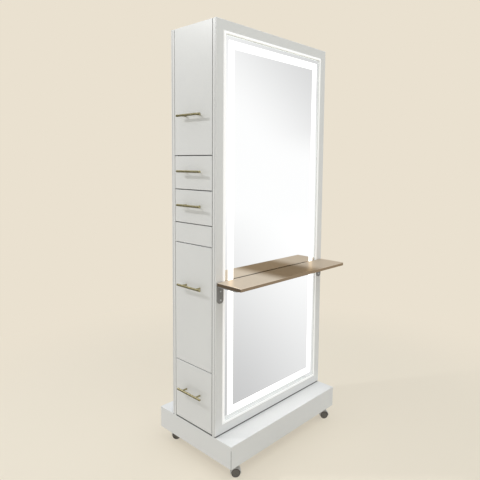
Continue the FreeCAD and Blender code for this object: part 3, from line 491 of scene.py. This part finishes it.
class ScrewHeads:
    """Screw heads of one size with a cross recess, shaped once and copied to their places."""

    def __init__(self, radius, height):
        foot, flat_top = 0.96 * radius, 0.42 * radius
        brim, shoulder = 0.12 * height, 0.35 * height
        crown = [(shoulder + (height - shoulder) * math.sin(turn),
                  flat_top + (radius - flat_top) * math.cos(turn))
                 for turn in (math.radians(15 * i) for i in range(7))]
        head = bmesh.new()
        turned(head, ((0.0, 0.0), (0.0, foot), (brim, radius), *crown, (height, 0.0)),
               (0, 0, 0), (0, 0, 1), segments=28)
        bmesh.ops.recalc_face_normals(head, faces=head.faces)

        above, floor = 1.3 * height, 0.45 * height
        slot, reach = radius * 0.13, radius * 0.52
        recess = bmesh.new()
        for wide, narrow in ((reach, slot), (slot, reach)):
            for corner in bmesh.ops.create_cube(recess, size=2.0)["verts"]:
                corner.co = (corner.co.x * wide, corner.co.y * narrow,
                             above if corner.co.z > 0 else floor)

        blank, cutter = object_from(head, "head"), object_from(recess, "recess")
        modifier = blank.modifiers.new("recess", "BOOLEAN")
        modifier.object = cutter
        modifier.operation = "DIFFERENCE"
        modifier.solver = "EXACT"
        modifier.use_self = True
        self.data = bpy.data.meshes.new_from_object(
            blank.evaluated_get(bpy.context.evaluated_depsgraph_get()))
        for draft in (blank, cutter):
            data = draft.data
            bpy.data.objects.remove(draft)
            bpy.data.meshes.remove(data)

    def put(self, mesh, place, facing, spin):
        """Add a head, seated on a face at a place, with its cross turned by its spin."""
        turn = Vector((0, 0, 1)).rotation_difference(Vector(facing)).to_matrix().to_4x4()
        matrix = Matrix.Translation(place) @ turn @ Matrix.Rotation(spin, 4, "Z")
        copy = self.data.copy()
        copy.transform(matrix)
        mesh.from_mesh(copy)
        bpy.data.meshes.remove(copy)


def tyre_profile(inner, outer, rim, radius, edge):
    """Section of a tyre between two places on the axle, with rounded edges."""
    steps = 5
    quarter = [math.pi / 2 * i / steps for i in range(steps + 1)]
    near = [(inner + edge * (1 - math.sin(turn)), radius - edge * (1 - math.cos(turn)))
            for turn in reversed(quarter)]
    far = [(outer - edge * (1 - math.sin(turn)), radius - edge * (1 - math.cos(turn)))
           for turn in quarter]
    return [(inner, rim), *near, *far, (outer, rim), (inner, rim)]


def caster_wheel(mesh, centre, axis, radius, inner, outer, fittings):
    """Add one wheel of a pair: a soft tyre, a dished and ribbed rim, and a hub with its cap."""
    rim = radius - fittings.tyre
    floor = outer - fittings.dish
    lip = rim - fittings.tyre
    hub, cap, step = fittings.hub, fittings.cap, fittings.tyre_edge / 3
    flush, shoulder = outer - step, outer - 2 * step
    turned(mesh, tyre_profile(inner, outer, rim, radius, fittings.tyre_edge), centre, axis, 0)
    turned(mesh, (
        (inner + step, 0.0), (inner + step, rim), (shoulder, rim), (flush, rim - step),
        (flush, lip + step), (shoulder, lip), (floor, lip - step),
        (floor + step / 2, hub + step), (shoulder, hub), (flush, hub - step),
        (flush, cap + step), (shoulder, cap), (shoulder, 0.0)), centre, axis, 1)
    turned(mesh, ((shoulder, cap * 0.95), (flush, cap * 0.9), (outer - step / 2, cap * 0.6),
                  (outer - step / 4, 0.0)), centre, axis, 1, 32)
    axis = Vector(axis).normalized()
    for i in range(fittings.ribs):
        spoke = Matrix.Rotation(math.tau * i / fittings.ribs, 3, axis) @ Vector((0, 0, 1))
        across = axis.cross(spoke) * fittings.rib / 2
        corners = [mesh.verts.new(Vector(centre) + spoke * reach + across * share * side
                                  + axis * place)
                   for place, share in ((floor, 1.0), (outer - 3 * step, 0.6))
                   for reach, side in ((hub, -1), (hub, 1), (lip, 1), (lip, -1))]
        for numbers in ((4, 5, 6, 7), (0, 1, 5, 4), (1, 2, 6, 5), (2, 3, 7, 6), (3, 0, 4, 7)):
            mesh.faces.new([corners[n] for n in numbers]).material_index = 1


# ------------ settings

def colour_setting(name, description, default):
    """A colour that a user can change."""
    return FloatVectorProperty(name=name, description=description, subtype="COLOR", size=3,
                               min=0.0, max=1.0, default=default)


def length_setting(name, description, default):
    """A length that a user can change."""
    return FloatProperty(name=name, description=description, unit="LENGTH", subtype="DISTANCE",
                         min=0.0, default=default, precision=4)


def number_setting(name, description, default, **more):
    """A number that a user can change. more holds its limits and its subtype."""
    return FloatProperty(name=name, description=description, default=default, **more)


class StationFinishes(bpy.types.PropertyGroup):
    """Colours and sheens of the station's materials."""

    lacquer: colour_setting("Lacquer", "Colour of the sprayed fronts, frames and plinth",
                            (0.80, 0.80, 0.795))
    peel: length_setting("Orange peel", "Relief of the sprayed lacquer", 0.00003)
    # Real at joints; in the gaps beside the fronts and at the cabinet's foot this grey is painted
    # shade.
    primer_and_shade: colour_setting("Primer", "Colour of joints and of edges left unsprayed",
                           (0.34, 0.34, 0.335))
    # Painted shade: the dark grey of the shelf boards' ends, which darkens the gaps between the
    # fronts.
    edging: colour_setting("Edging", "Colour of the boards' edging", (0.16, 0.16, 0.158))
    melamine: colour_setting("Melamine", "Colour of the boards inside", (0.78, 0.78, 0.76))
    silver: colour_setting("Silvering", "Tint of the mirrors", (0.95, 0.955, 0.955))
    light: colour_setting("Light", "Colour of the light bands and covers", (1.0, 0.99, 0.97))
    glow: number_setting("Glow", "Strength of the light bands and covers", 1.9, min=0.0)
    # Painted glow: emission strength painted on the bead, the frames' foot and the deck.
    painted_spill: number_setting("Spill", "Light that the bead round a mirror picks up", 0.4, min=0.0)
    edge_light: number_setting("Edge light", "Share of the glow at the mirrors' ground edge",
                               0.6, min=0.0, max=1.0, subtype="FACTOR")
    band_edge: number_setting("Band edge", "Share of the glow at the edges of a band",
                              0.45, min=0.0, max=1.0, subtype="FACTOR")
    # Painted reflection: the glow painted on the counter's ends, and its colour.
    sheen: number_setting("Counter's sheen", "Light that the counter's brushed ends pick up",
                          0.4, min=0.0)
    sheen_tint: colour_setting("Sheen's tint", "Colour of the light on the counter's ends",
                               (1.0, 0.95, 0.84))
    margin: length_setting("Mirror margin", "Plain mirror outside the light band", 0.0178)
    band: length_setting("Light band", "Width of the light band", 0.035)
    frost_edge: length_setting("Frost edge", "Soft edge of the light band", 0.0008)
    diode_pitch: length_setting("Diode pitch", "Distance between diodes on a strip", 0.0166)
    brass: colour_setting("Handles", "Colour of the brushed bar handles", (0.18, 0.16, 0.094))
    brass_rim: colour_setting("Handles' rim", "Tint of the handles at a glancing angle",
                              (0.6, 0.55, 0.42))
    gold: colour_setting("Counter", "Colour of the gold counter", (0.312, 0.233, 0.154))
    gold_rim: colour_setting("Counter's rim", "Tint of the counter at a glancing angle",
                             (0.6, 0.53, 0.44))
    bracket: colour_setting("Brackets", "Colour of the counter's brackets",
                            (0.25, 0.243, 0.236))
    steel: colour_setting("Plating", "Colour of plated fittings", (0.62, 0.62, 0.61))
    nylon: colour_setting("Runners", "Colour of the drawer runners", (0.68, 0.68, 0.66))
    case: colour_setting("Driver case", "Colour of the light drivers", (0.70, 0.70, 0.71))
    hood: colour_setting("Hoods", "Colour of the casters' hoods", (0.52, 0.51, 0.49))
    tyre: colour_setting("Tyres", "Colour of the casters' tyres", (0.06, 0.053, 0.045))
    rim: colour_setting("Rims", "Colour of the casters' rims", (0.17, 0.155, 0.135))


class StationFittings(bpy.types.PropertyGroup):
    """Sizes of the screws and of the casters' wheels."""

    head: length_setting("Handle screw", "Diameter of the handles' screw heads", 0.0076)
    head_height: length_setting("Handle screw height", "Height of the handles' screw heads",
                                0.0024)
    hinge_head: length_setting("Hinge screw", "Diameter of the hinges' screw heads", 0.0066)
    hinge_head_height: length_setting("Hinge screw height",
                                      "Height of the hinges' screw heads", 0.0014)
    post_pitch: length_setting("Post pitch", "Between the posts of a handle", 0.096)
    plate_pitch: length_setting("Hinge screw pitch", "Between the screws of a hinge plate",
                                0.029)
    cup_pitch: length_setting("Cup screw pitch", "Between the screws of a hinge cup", 0.048)
    cup_flange: length_setting("Cup flange", "Height of a hinge cup's flange", 0.058)
    flange: length_setting("Flange", "Thickness of a hinge cup's flange", 0.001)
    plate_steel: length_setting("Hinge plate", "Thickness of a hinge plate", 0.005)
    plate_middle: length_setting("Plate middle", "From a hinge arm's end to its plate's middle",
                                 0.0515)
    caster_head: length_setting("Caster screw", "Diameter of the caster plates' screw heads",
                                0.0084)
    caster_head_height: length_setting("Caster screw height",
                                       "Height of the caster plates' screw heads", 0.0026)
    caster_plate: length_setting("Caster plate", "Thickness of a caster's plate", 0.003)
    caster_pitch: length_setting("Caster screw pitch", "Between a caster plate's screws", 0.031)
    bracket_head: length_setting("Bracket screw", "Diameter of the brackets' screw heads",
                                 0.008)
    bracket_head_height: length_setting("Bracket screw height",
                                        "Height of the brackets' screw heads", 0.0024)
    head_board: length_setting("Head board", "Thickness of a drawer box's head board", 0.012)
    wheel: length_setting("Wheel", "Width of a caster's wheel", 0.01)
    wheel_offset: length_setting("Wheel offset", "From a caster's middle to its wheel", 0.005)
    axle: length_setting("Axle", "Radius of a caster's axle", 0.003)
    tyre: length_setting("Tyre", "Thickness of a wheel's tyre", 0.003)
    tyre_edge: length_setting("Tyre edge", "Rounding of a tyre's edge", 0.0015)
    dish: length_setting("Dish", "Depth of the recess in a wheel", 0.0025)
    hub: length_setting("Hub", "Radius of a wheel's hub", 0.006)
    cap: length_setting("Hub cap", "Radius of the cap on a wheel's hub", 0.0042)
    rib: length_setting("Rib", "Width of a wheel's ribs", 0.0014)
    ribs: IntProperty(name="Ribs", description="Ribs in the recess of a wheel", min=0, default=6)


class StationStage(bpy.types.PropertyGroup):
    """Camera, lamps, floor and backdrop."""

    backdrop: colour_setting("Backdrop", "Colour of the floor and the backdrop",
                             (0.823, 0.753, 0.631))
    floor_tone: number_setting("Floor tone", "Floor's colour over the backdrop's", 1.15, min=0.0)
    ambient: number_setting("Ambient", "Strength of the light from all round", 0.56, min=0.0)
    key: number_setting("Key lamp", "Power of the lamp beside the handles", 32.0,
                        min=0.0, subtype="POWER")
    top: number_setting("Top lamp", "Power of the lamp overhead", 72.0, min=0.0, subtype="POWER")
    eye: FloatVectorProperty(name="Camera", description="Place of the camera",
                             subtype="TRANSLATION", size=3, default=(-1.734, -1.619, 1.386))
    yaw: number_setting("Yaw", "Camera's heading, from +Y towards +X", math.radians(47.38),
                        subtype="ANGLE")
    pitch: number_setting("Pitch", "How far the camera looks down", math.radians(5.25),
                          subtype="ANGLE")
    roll: number_setting("Roll", "Camera's tilt about its own axis", math.radians(0.64),
                         subtype="ANGLE")
    lens: number_setting("Lens", "Focal length in millimetres, for a 36 mm frame", 35.31,
                         min=1.0, subtype="DISTANCE_CAMERA")
    shift_x: number_setting("Shift X", "Sideways shift of the frame", -0.04083)
    shift_y: number_setting("Shift Y", "Upward shift of the frame", -0.065)


# ------------ operators

def settings_of(context):
    """The finishes and the fittings."""
    return context.scene.station_finishes, context.scene.station_fittings


class STATION_OT_lacquer(bpy.types.Operator):
    """Lacquer the plinth, the cabinet's outside, the mirror frames and the fronts"""

    bl_idname = "station.lacquer"
    bl_label = "Lacquer the cabinet"
    bl_options = {"REGISTER", "UNDO"}

    def execute(self, context):
        finishes = context.scene.station_finishes
        coat(sprayed_lacquer(finishes), "top_board")
        coat(sprayed_lacquer(finishes, "skirt_lacquer", self.mitres), "plinth_skirt")
        # The deck: painted shade at the cabinet's foot, and a painted glow from the mirrors'
        # bands.
        coat(sprayed_lacquer(finishes, "deck_lacquer", self.painted_foot_shade, self.painted_deck_glow,
                             joint_and_shade_tone=0.25), "plinth_deck")
        # The fronts: painted shade on their upright edges, in the gaps.
        coat(sprayed_lacquer(finishes, "front_lacquer", self.painted_gap_shade), "blank_panels",
             *(f"{door}_panel" for door in DOORS), *(f"{drawer}_front" for drawer in DRAWERS))
        for face in FACES:
            coat(sprayed_lacquer(finishes, f"side_lacquer_{face}", self.frame_joint),
                 f"side_panel_{face}")
            # The frames: a dark joint, and a painted glow on the bead and the foot.
            coat(sprayed_lacquer(finishes, f"frame_lacquer_{face}", self.frame_joint,
                                 partial(self.painted_bead_glow, face)), f"mirror_frame_{face}")
        return {"FINISHED"}

    @staticmethod
    def mitres(graph, point):
        """The grooves along the skirt's mitres."""
        groove = 0.0017
        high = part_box("plinth_skirt")[1]
        x, y, _ = graph.axes(point)
        return abs(x).over(high.x - groove) * abs(y - CABINET_Y).over(high.y - CABINET_Y - groove)

    @staticmethod
    def painted_foot_shade(graph, point):
        """The part of the deck's top that the cabinet stands over, reaching just into the gap
        under the frames: painted shade, a dark line at the cabinet's foot.
        """
        inset, skin, soft = 0.003, 0.0006, 0.0003
        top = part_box("plinth_deck")[1].z - skin
        depth = CABINET_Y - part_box("mirror_frame_front")[0].y - inset
        _, y, z = graph.axes(point)
        outside = abs(y - CABINET_Y).between(depth - soft, depth + soft)
        return z.between(top - soft, top + soft) * (1.0 - outside)

    @staticmethod
    def painted_gap_shade(graph, point):
        """The upright edges of a front, which show only in the gaps beside it, painted grey as
        shade in those gaps.
        """
        return graph.across(1)

    @staticmethod
    def frame_joint(graph, point):
        """The joint between a mirror's frame and the side panel behind it."""
        half_joint, soft = 0.0008, 0.0005
        depth = CABINET_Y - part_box("side_panel_front")[0].y
        away = abs(abs(graph.axes(point)[1] - CABINET_Y) - depth)
        return 1.0 - away.between(half_joint, half_joint + soft)

    @staticmethod
    def painted_deck_glow(graph, point):
        """The deck's top, with an even painted glow standing in for the light of the mirrors'
        bands.
        """
        share, skin = 0.15, 0.001
        return share * graph.axes(point)[2].over(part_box("plinth_deck")[1].z - skin)

    @staticmethod
    def painted_bead_glow(face, graph, point):
        """A painted glow on the bead round a mirror, standing in for its band's light, and a
        fainter one on the foot of its frame, standing in for light from the deck.
        """
        bead_start, bead_end = (0.001, 0.004), (0.010, 0.018)
        foot_share, raised = 0.10, 0.03
        frame_low, glass_low = (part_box(name)[0].z + raised
                                for name in (f"mirror_frame_{face}", f"mirror_{face}"))
        distance = past_glass(graph, point, face)
        bead = distance.between(*bead_start) * (1.0 - distance.between(*bead_end))
        foot = distance.over(0.0) * (1.0 - graph.axes(point)[2].between(frame_low, glass_low))
        return bead.most(foot_share * foot)


class STATION_OT_boards(bpy.types.Operator):
    """Face the boards and the drawer boxes with melamine, and finish the runners"""

    bl_idname = "station.boards"
    bl_label = "Face the boards inside"
    bl_options = {"REGISTER", "UNDO"}

    def execute(self, context):
        finishes = context.scene.station_finishes
        coat(matt_melamine(finishes), "centre_partition", "plinth_base",
             *(f"{drawer}_box" for drawer in DRAWERS))
        # Shelf boards: painted shade on their ends, seen through the gaps between fronts.
        coat(matt_melamine(finishes, "edged_melamine", True), "shelf_boards")
        coat(moulded_plastic("runner_nylon", finishes.nylon), "runner_rails")
        return {"FINISHED"}


class STATION_OT_mirrors(bpy.types.Operator):
    """Silver the mirrors, and light the covers and strips behind them"""

    bl_idname = "station.mirrors"
    bl_label = "Silver the mirrors"
    bl_options = {"REGISTER", "UNDO"}

    def execute(self, context):
        finishes = context.scene.station_finishes
        for face in FACES:
            coat(lit_mirror(finishes, face), f"mirror_{face}")
        coat(lit_acrylic(finishes), "light_diffusers")
        coat(cut_diodes(finishes), "led_strips")
        coat(moulded_plastic("driver_case", finishes.case), "led_drivers")
        return {"FINISHED"}


class STATION_OT_handles(bpy.types.Operator):
    """Brush the bar handles and add the screws that hold them"""

    bl_idname = "station.handles"
    bl_label = "Finish the handles"
    bl_options = {"REGISTER", "UNDO"}

    def execute(self, context):
        finishes, fittings = settings_of(context)
        fronts = DOORS + DRAWERS
        # Handles: ends and upper sides lighter, as painted highlight.
        coat(brushed_metal("brushed_brass", finishes.brass, finishes.brass_rim, 1, 0.17,
                           ends=2.6, top=2.2),
             *(f"{front}_handle" for front in fronts))
        steel = plated_steel(finishes)
        heads = ScrewHeads(fittings.head / 2, fittings.head_height)
        for number, front in enumerate(fronts):
            sign = outwards(front)
            low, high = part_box(f"{front}_handle")
            centre = (low + high) / 2
            if front in DRAWERS:
                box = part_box(f"{front}_box")
                depth = max(abs(corner.x) for corner in box) - fittings.head_board
            else:
                depth = min(abs(corner.x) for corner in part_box(f"{front}_panel"))
            mesh = bmesh.new()
            for side in (-1, 1):
                place = (sign * depth, centre.y + side * fittings.post_pitch / 2, centre.z)
                heads.put(mesh, place, (-sign, 0, 0), 0.4 + 1.1 * side + 0.7 * number)
            piece_from(mesh, f"{front}_handle_screws", [steel], front)
        return {"FINISHED"}


class STATION_OT_counter(bpy.types.Operator):
    """Polish the counter, coat its brackets and put their screws in"""

    bl_idname = "station.counter"
    bl_label = "Finish the counter"
    bl_options = {"REGISTER", "UNDO"}

    def execute(self, context):
        finishes, fittings = settings_of(context)
        # Counter: darker end faces as painted shade, and a painted glow on its top's ends as a
        # reflection of the bands.
        coat(brushed_metal("gold_sheet", finishes.gold, finishes.gold_rim, 0, 0.30,
                           contrast=0.10, groove=0.000002,
                           lit=partial(self.painted_end_sheen, finishes)), "counter_shelf")
        coat(powder_coat("bracket_coat", finishes.bracket), "shelf_brackets")
        radius = fittings.bracket_head / 2
        heads = ScrewHeads(radius, fittings.bracket_head_height)
        low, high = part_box("bracket_screws")
        face = low.y + fittings.bracket_head_height
        shank = ((0.0, 0.0), (0.0, 0.5 * radius), (high.y - face - radius, 0.5 * radius),
                 (high.y - face, 0.0))
        mesh = bmesh.new()
        for x in (low.x + radius, high.x - radius):
            for z in (low.z + radius, high.z - radius):
                heads.put(mesh, (x, face, z), (0, -1, 0), 0.3 + 9.0 * z + x)
                turned(mesh, shank, (x, face, z), (0, 1, 0), segments=20)
        steel = plated_steel(finishes)
        screws = piece_from(mesh, "bracket_screw_set", [steel], "cabinet")
        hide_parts("bracket_screws")
        return {"FINISHED"}

    @staticmethod
    def painted_end_sheen(finishes, graph, point):
        """The counter's top, with a painted glow at its ends standing in for the bands'
        reflection drawn out by its brushing.
        """
        middle, dull_until, bright_from = 0.02, 0.08, 0.20
        lost_at_right, skin = 0.3, 0.002
        x, _, z = graph.axes(point)
        share = abs(x - middle).between(dull_until, bright_from)
        share = share * z.over(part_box("counter_shelf")[1].z - skin)
        share = share * (1.0 - lost_at_right * x.over(middle))
        return painted_glow(graph, share, finishes.sheen_tint, finishes.sheen)


class STATION_OT_hinges(bpy.types.Operator):
    """Plate the hinges and put in the screws of their plates and cups"""

    bl_idname = "station.hinges"
    bl_label = "Finish the hinges"
    bl_options = {"REGISTER", "UNDO"}

    def execute(self, context):
        finishes, fittings = settings_of(context)
        steel = plated_steel(finishes)
        coat(steel, "hinge_plates", *(f"{door}_hinge_cups" for door in DOORS))
        heads = ScrewHeads(fittings.hinge_head / 2, fittings.hinge_head_height)
        fixed = bmesh.new()
        for number, door in enumerate(DOORS):
            sign = outwards(door)
            low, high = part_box(f"{door}_hinge_cups")
            panel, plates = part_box(f"{door}_panel"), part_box("hinge_plates")
            flange_x = min(abs(corner.x) for corner in panel) - fittings.flange
            plate_x = max(abs(corner.x) for corner in plates) - fittings.plate_middle
            wall = max(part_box(f"side_panel_{'back' if sign < 0 else 'front'}"),
                       key=lambda corner: sign * corner.y)
            plate_y = wall.y + sign * fittings.plate_steel
            moving = bmesh.new()
            for level in (low.z + fittings.cup_flange / 2, high.z - fittings.cup_flange / 2):
                for side in (-1, 1):
                    spin = 0.5 * side + number
                    cup_z = level + side * fittings.cup_pitch / 2
                    plate_z = level + side * fittings.plate_pitch / 2
                    heads.put(moving, (sign * flange_x, (low.y + high.y) / 2, cup_z),
                              (-sign, 0, 0), spin)
                    heads.put(fixed, (sign * plate_x, plate_y, plate_z), (0, sign, 0), spin + 0.4)
            piece_from(moving, f"{door}_cup_screws", [steel], door)
        piece_from(fixed, "hinge_plate_screws", [steel], "cabinet")
        return {"FINISHED"}


class STATION_OT_casters(bpy.types.Operator):
    """Coat the casters' hoods, plate their mounts and turn their wheels"""

    bl_idname = "station.casters"
    bl_label = "Finish the casters"
    bl_options = {"REGISTER", "UNDO"}

    def execute(self, context):
        finishes, fittings = settings_of(context)
        steel = plated_steel(finishes)
        coat(powder_coat("hood_enamel", finishes.hood, roughness=0.26, grain_height=0.00001),
             *(f"{caster}_hood" for caster in CASTERS))
        coat(steel, "caster_plates")
        layers = [soft_tyre(finishes), moulded_plastic("wheel_rim", finishes.rim), steel]
        for caster in CASTERS:
            self.turn_wheels(caster, fittings, layers)
        self.screw_plates(fittings, steel)
        return {"FINISHED"}

    @staticmethod
    def turn_wheels(caster, fittings, layers):
        """Two wheels on one axle, in place of the plain ones."""
        joint = joint_of(f"{caster}_roll")
        axle = Vector(joint["axis"]).normalized()
        centre = Vector(joint["pos_m"])
        radius = centre.z
        inner = fittings.wheel_offset
        outer = inner + fittings.wheel
        mesh = bmesh.new()
        for side in (-1, 1):
            caster_wheel(mesh, centre, axle * side, radius, inner, outer, fittings)
        turned(mesh, ((-inner, 0.0), (-inner, fittings.axle), (inner, fittings.axle),
                      (inner, 0.0)), centre, axle, 2, 24)
        wheels = piece_from(mesh, f"{caster}_wheel_pair", layers, f"{caster}_roll")
        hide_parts(f"{caster}_wheels")

    @staticmethod
    def screw_plates(fittings, steel):
        """Four screws in each mounting plate."""
        heads = ScrewHeads(fittings.caster_head / 2, fittings.caster_head_height)
        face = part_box("caster_plates")[1].z - fittings.caster_plate
        mesh = bmesh.new()
        for number, caster in enumerate(CASTERS):
            pivot = Vector(joint_of(f"{caster}_swivel")["pos_m"])
            for x_side in (-1, 1):
                for y_side in (-1, 1):
                    heads.put(mesh, (pivot.x + x_side * fittings.caster_pitch / 2,
                                     pivot.y + y_side * fittings.caster_pitch / 2, face),
                              (0, 0, -1), number + 0.6 * x_side + 0.25 * y_side)
        piece_from(mesh, "caster_plate_screws", [steel], "cabinet")


class STATION_OT_stage(bpy.types.Operator):
    """Set up the camera, the lamps, the floor and the backdrop"""

    bl_idname = "station.stage"
    bl_label = "Set the stage"
    bl_options = {"REGISTER", "UNDO"}

    def execute(self, context):
        scene = context.scene
        stage = scene.station_stage
        self.place_camera(scene, stage)
        self.lay_floor(stage)
        self.light_world(scene, stage)
        self.hang_lamps(scene, stage)
        scene.view_settings.view_transform = "Standard"
        return {"FINISHED"}

    @staticmethod
    def place_camera(scene, stage):
        """The camera, at its place and heading, level but for its roll."""
        forward = Vector((math.sin(stage.yaw) * math.cos(stage.pitch),
                          math.cos(stage.yaw) * math.cos(stage.pitch), -math.sin(stage.pitch)))
        level = Vector((math.cos(stage.yaw), -math.sin(stage.yaw), 0))
        upright = level.cross(forward)
        right = level * math.cos(stage.roll) + upright * math.sin(stage.roll)
        up = upright * math.cos(stage.roll) - level * math.sin(stage.roll)
        data = bpy.data.cameras.new("camera")
        data.lens = stage.lens
        data.shift_x = stage.shift_x
        data.shift_y = stage.shift_y
        camera = bpy.data.objects.new("camera", data)
        turn = Matrix((right, up, -forward)).transposed().to_4x4()
        camera.matrix_world = Matrix.Translation(stage.eye) @ turn
        scene.collection.objects.link(camera)
        scene.camera = camera

    @staticmethod
    def ray_kinds(graph):
        """Whether a ray is the camera's, and whether it is that or one of gloss or glass."""
        outputs = graph.add("ShaderNodeLightPath").socket.node.outputs
        camera, glossy, through = (Signal(graph, outputs[name]) for name in (
            "Is Camera Ray", "Is Glossy Ray", "Is Transmission Ray"))
        return camera, camera.most(glossy).most(through)

    def lay_floor(self, stage):
        """A round floor: lit near the station, and as even as the backdrop further out."""
        mesh = bmesh.new()
        bmesh.ops.create_circle(mesh, cap_ends=True, segments=FLOOR_SEGMENTS,
                                radius=FLOOR_RADIUS)
        floor = object_from(mesh, "floor")

        material, graph, point = new_material("floor_paper")
        camera, shown = self.ray_kinds(graph)
        distance = graph.vector_math("LENGTH", point, out=1)
        lit_until, even_from, least_even = 1.1, 2.4, 0.56
        tooth = graph.noise(point, 240.0, 3.0)
        paper = graph.mix(tooth, shade(stage.backdrop, 0.99 * stage.floor_tone),
                          shade(stage.backdrop, stage.floor_tone))
        near_side = graph.add("ShaderNodeBsdfPrincipled", None,
                              {"Base Color": paper, "Roughness": 0.85,
                               "Specular IOR Level": 0.1})
        grey = self.mirrored_floor(graph, point, distance)
        far_side = graph.add("ShaderNodeEmission", None,
                             {"Color": self.seen(graph, stage, camera, grey)})
        even = least_even + (1.0 - least_even) * distance.between(lit_until, even_from)
        share = shown * even.most(1.0 - camera)
        blend = graph.add("ShaderNodeMixShader", None, {0: share, 1: near_side, 2: far_side})
        graph.add("ShaderNodeOutputMaterial", None, {"Surface": blend})
        floor.data.materials.append(material)

    @staticmethod
    def seen(graph, stage, camera, level):
        """The backdrop's colour to the camera, and a grey of a given level to mirrors."""
        grey = graph.add("ShaderNodeCombineColor", None, {0: level, 1: level, 2: level})
        return graph.mix(camera, grey, shade(stage.backdrop, 1.0))

    @staticmethod
    def mirrored_floor(graph, point, distance):
        """The floor's grey to mirrors: paler further out and beside the station's ends."""
        darkest, rise, spread, beside = 0.584, 0.276, 4.3, 0.24
        x, y, _ = graph.axes(point)
        square = distance * distance
        aside = (x * x - y * y) / distance.power(1.5)
        level = darkest + rise * square / (square + spread) + beside * aside.between(-1.0, 0.8)
        return level + (HORIZON - level) * distance.between(2.5, 14.0)

    def light_world(self, scene, stage):
        """Even light from all round; the camera sees the backdrop, and mirrors a pale studio."""
        world = bpy.data.worlds.new("studio")
        world.use_nodes = True
        scene.world = world
        graph = Graph(world.node_tree)
        camera, shown = self.ray_kinds(graph)
        slant, daylight = (0.79, 0.90, 1.0), (0.94, 0.98, 1.0, 1.0)
        high_shade, low_shade, overhead = 0.31, 0.2, 1.6
        direction = graph.add("ShaderNodeTexCoord", out=0)
        along = graph.vector_math("DOT_PRODUCT", direction, slant, out=1)
        up = graph.axes(direction)[2]
        shaded = high_shade * along.between(0.0, 0.34) + low_shade * (
            1.0 - along.between(-0.7, -0.15))
        level = HORIZON - shaded * up.between(0.0, 0.08) + overhead * up.between(0.5, 0.75)
        light = graph.add("ShaderNodeBackground", None,
                          {"Color": daylight, "Strength": stage.ambient})
        sight = graph.add("ShaderNodeBackground", None,
                          {"Color": self.seen(graph, stage, camera, level)})
        blend = graph.add("ShaderNodeMixShader", None, {0: shown, 1: light, 2: sight})
        graph.add("ShaderNodeOutputWorld", None, {"Surface": blend})

    @staticmethod
    def hang_lamps(scene, stage):
        """A key beside the handles and a soft one overhead."""
        target = Vector((-0.1, CABINET_Y, 1.0))
        for name, (direction, distance, width, colour) in LAMPS.items():
            data = bpy.data.lights.new(f"{name}_lamp", "AREA")
            data.shape = "DISK"
            data.size = width
            data.energy = getattr(stage, name)
            data.color = colour
            lamp = bpy.data.objects.new(f"{name}_lamp", data)
            place = target + Vector(direction).normalized() * distance
            facing = (target - place).to_track_quat("-Z", "Y").to_matrix().to_4x4()
            lamp.matrix_world = Matrix.Translation(place) @ facing
            scene.collection.objects.link(lamp)


class STATION_PT_pieces(bpy.types.Panel):
    """Lists the station's operators and settings"""

    bl_idname = "STATION_PT_pieces"
    bl_label = "Salon Station"
    bl_space_type = "VIEW_3D"
    bl_region_type = "UI"
    bl_category = "Station"

    def draw(self, context):
        layout = self.layout
        for operator in OPERATORS:
            layout.operator(operator.bl_idname)
        for group in (context.scene.station_finishes, context.scene.station_fittings,
                      context.scene.station_stage):
            column = layout.column(align=True)
            for name in group.__annotations__:
                column.prop(group, name)


SETTINGS = {
    "station_finishes": StationFinishes,
    "station_fittings": StationFittings,
    "station_stage": StationStage,
}
OPERATORS = (
    STATION_OT_lacquer,
    STATION_OT_boards,
    STATION_OT_mirrors,
    STATION_OT_handles,
    STATION_OT_counter,
    STATION_OT_hinges,
    STATION_OT_casters,
    STATION_OT_stage,
)
CLASSES = (*SETTINGS.values(), *OPERATORS, STATION_PT_pieces)


def register():
    for cls in CLASSES:
        bpy.utils.register_class(cls)
    for name, cls in SETTINGS.items():
        setattr(bpy.types.Scene, name, PointerProperty(type=cls))


def unregister():
    for name in SETTINGS:
        delattr(bpy.types.Scene, name)
    for cls in reversed(CLASSES):
        bpy.utils.unregister_class(cls)


def main():
    register()
    for operator in OPERATORS:
        group, name = operator.bl_idname.split(".")
        getattr(getattr(bpy.ops, group), name)()


if __name__ == "__main__":
    main()
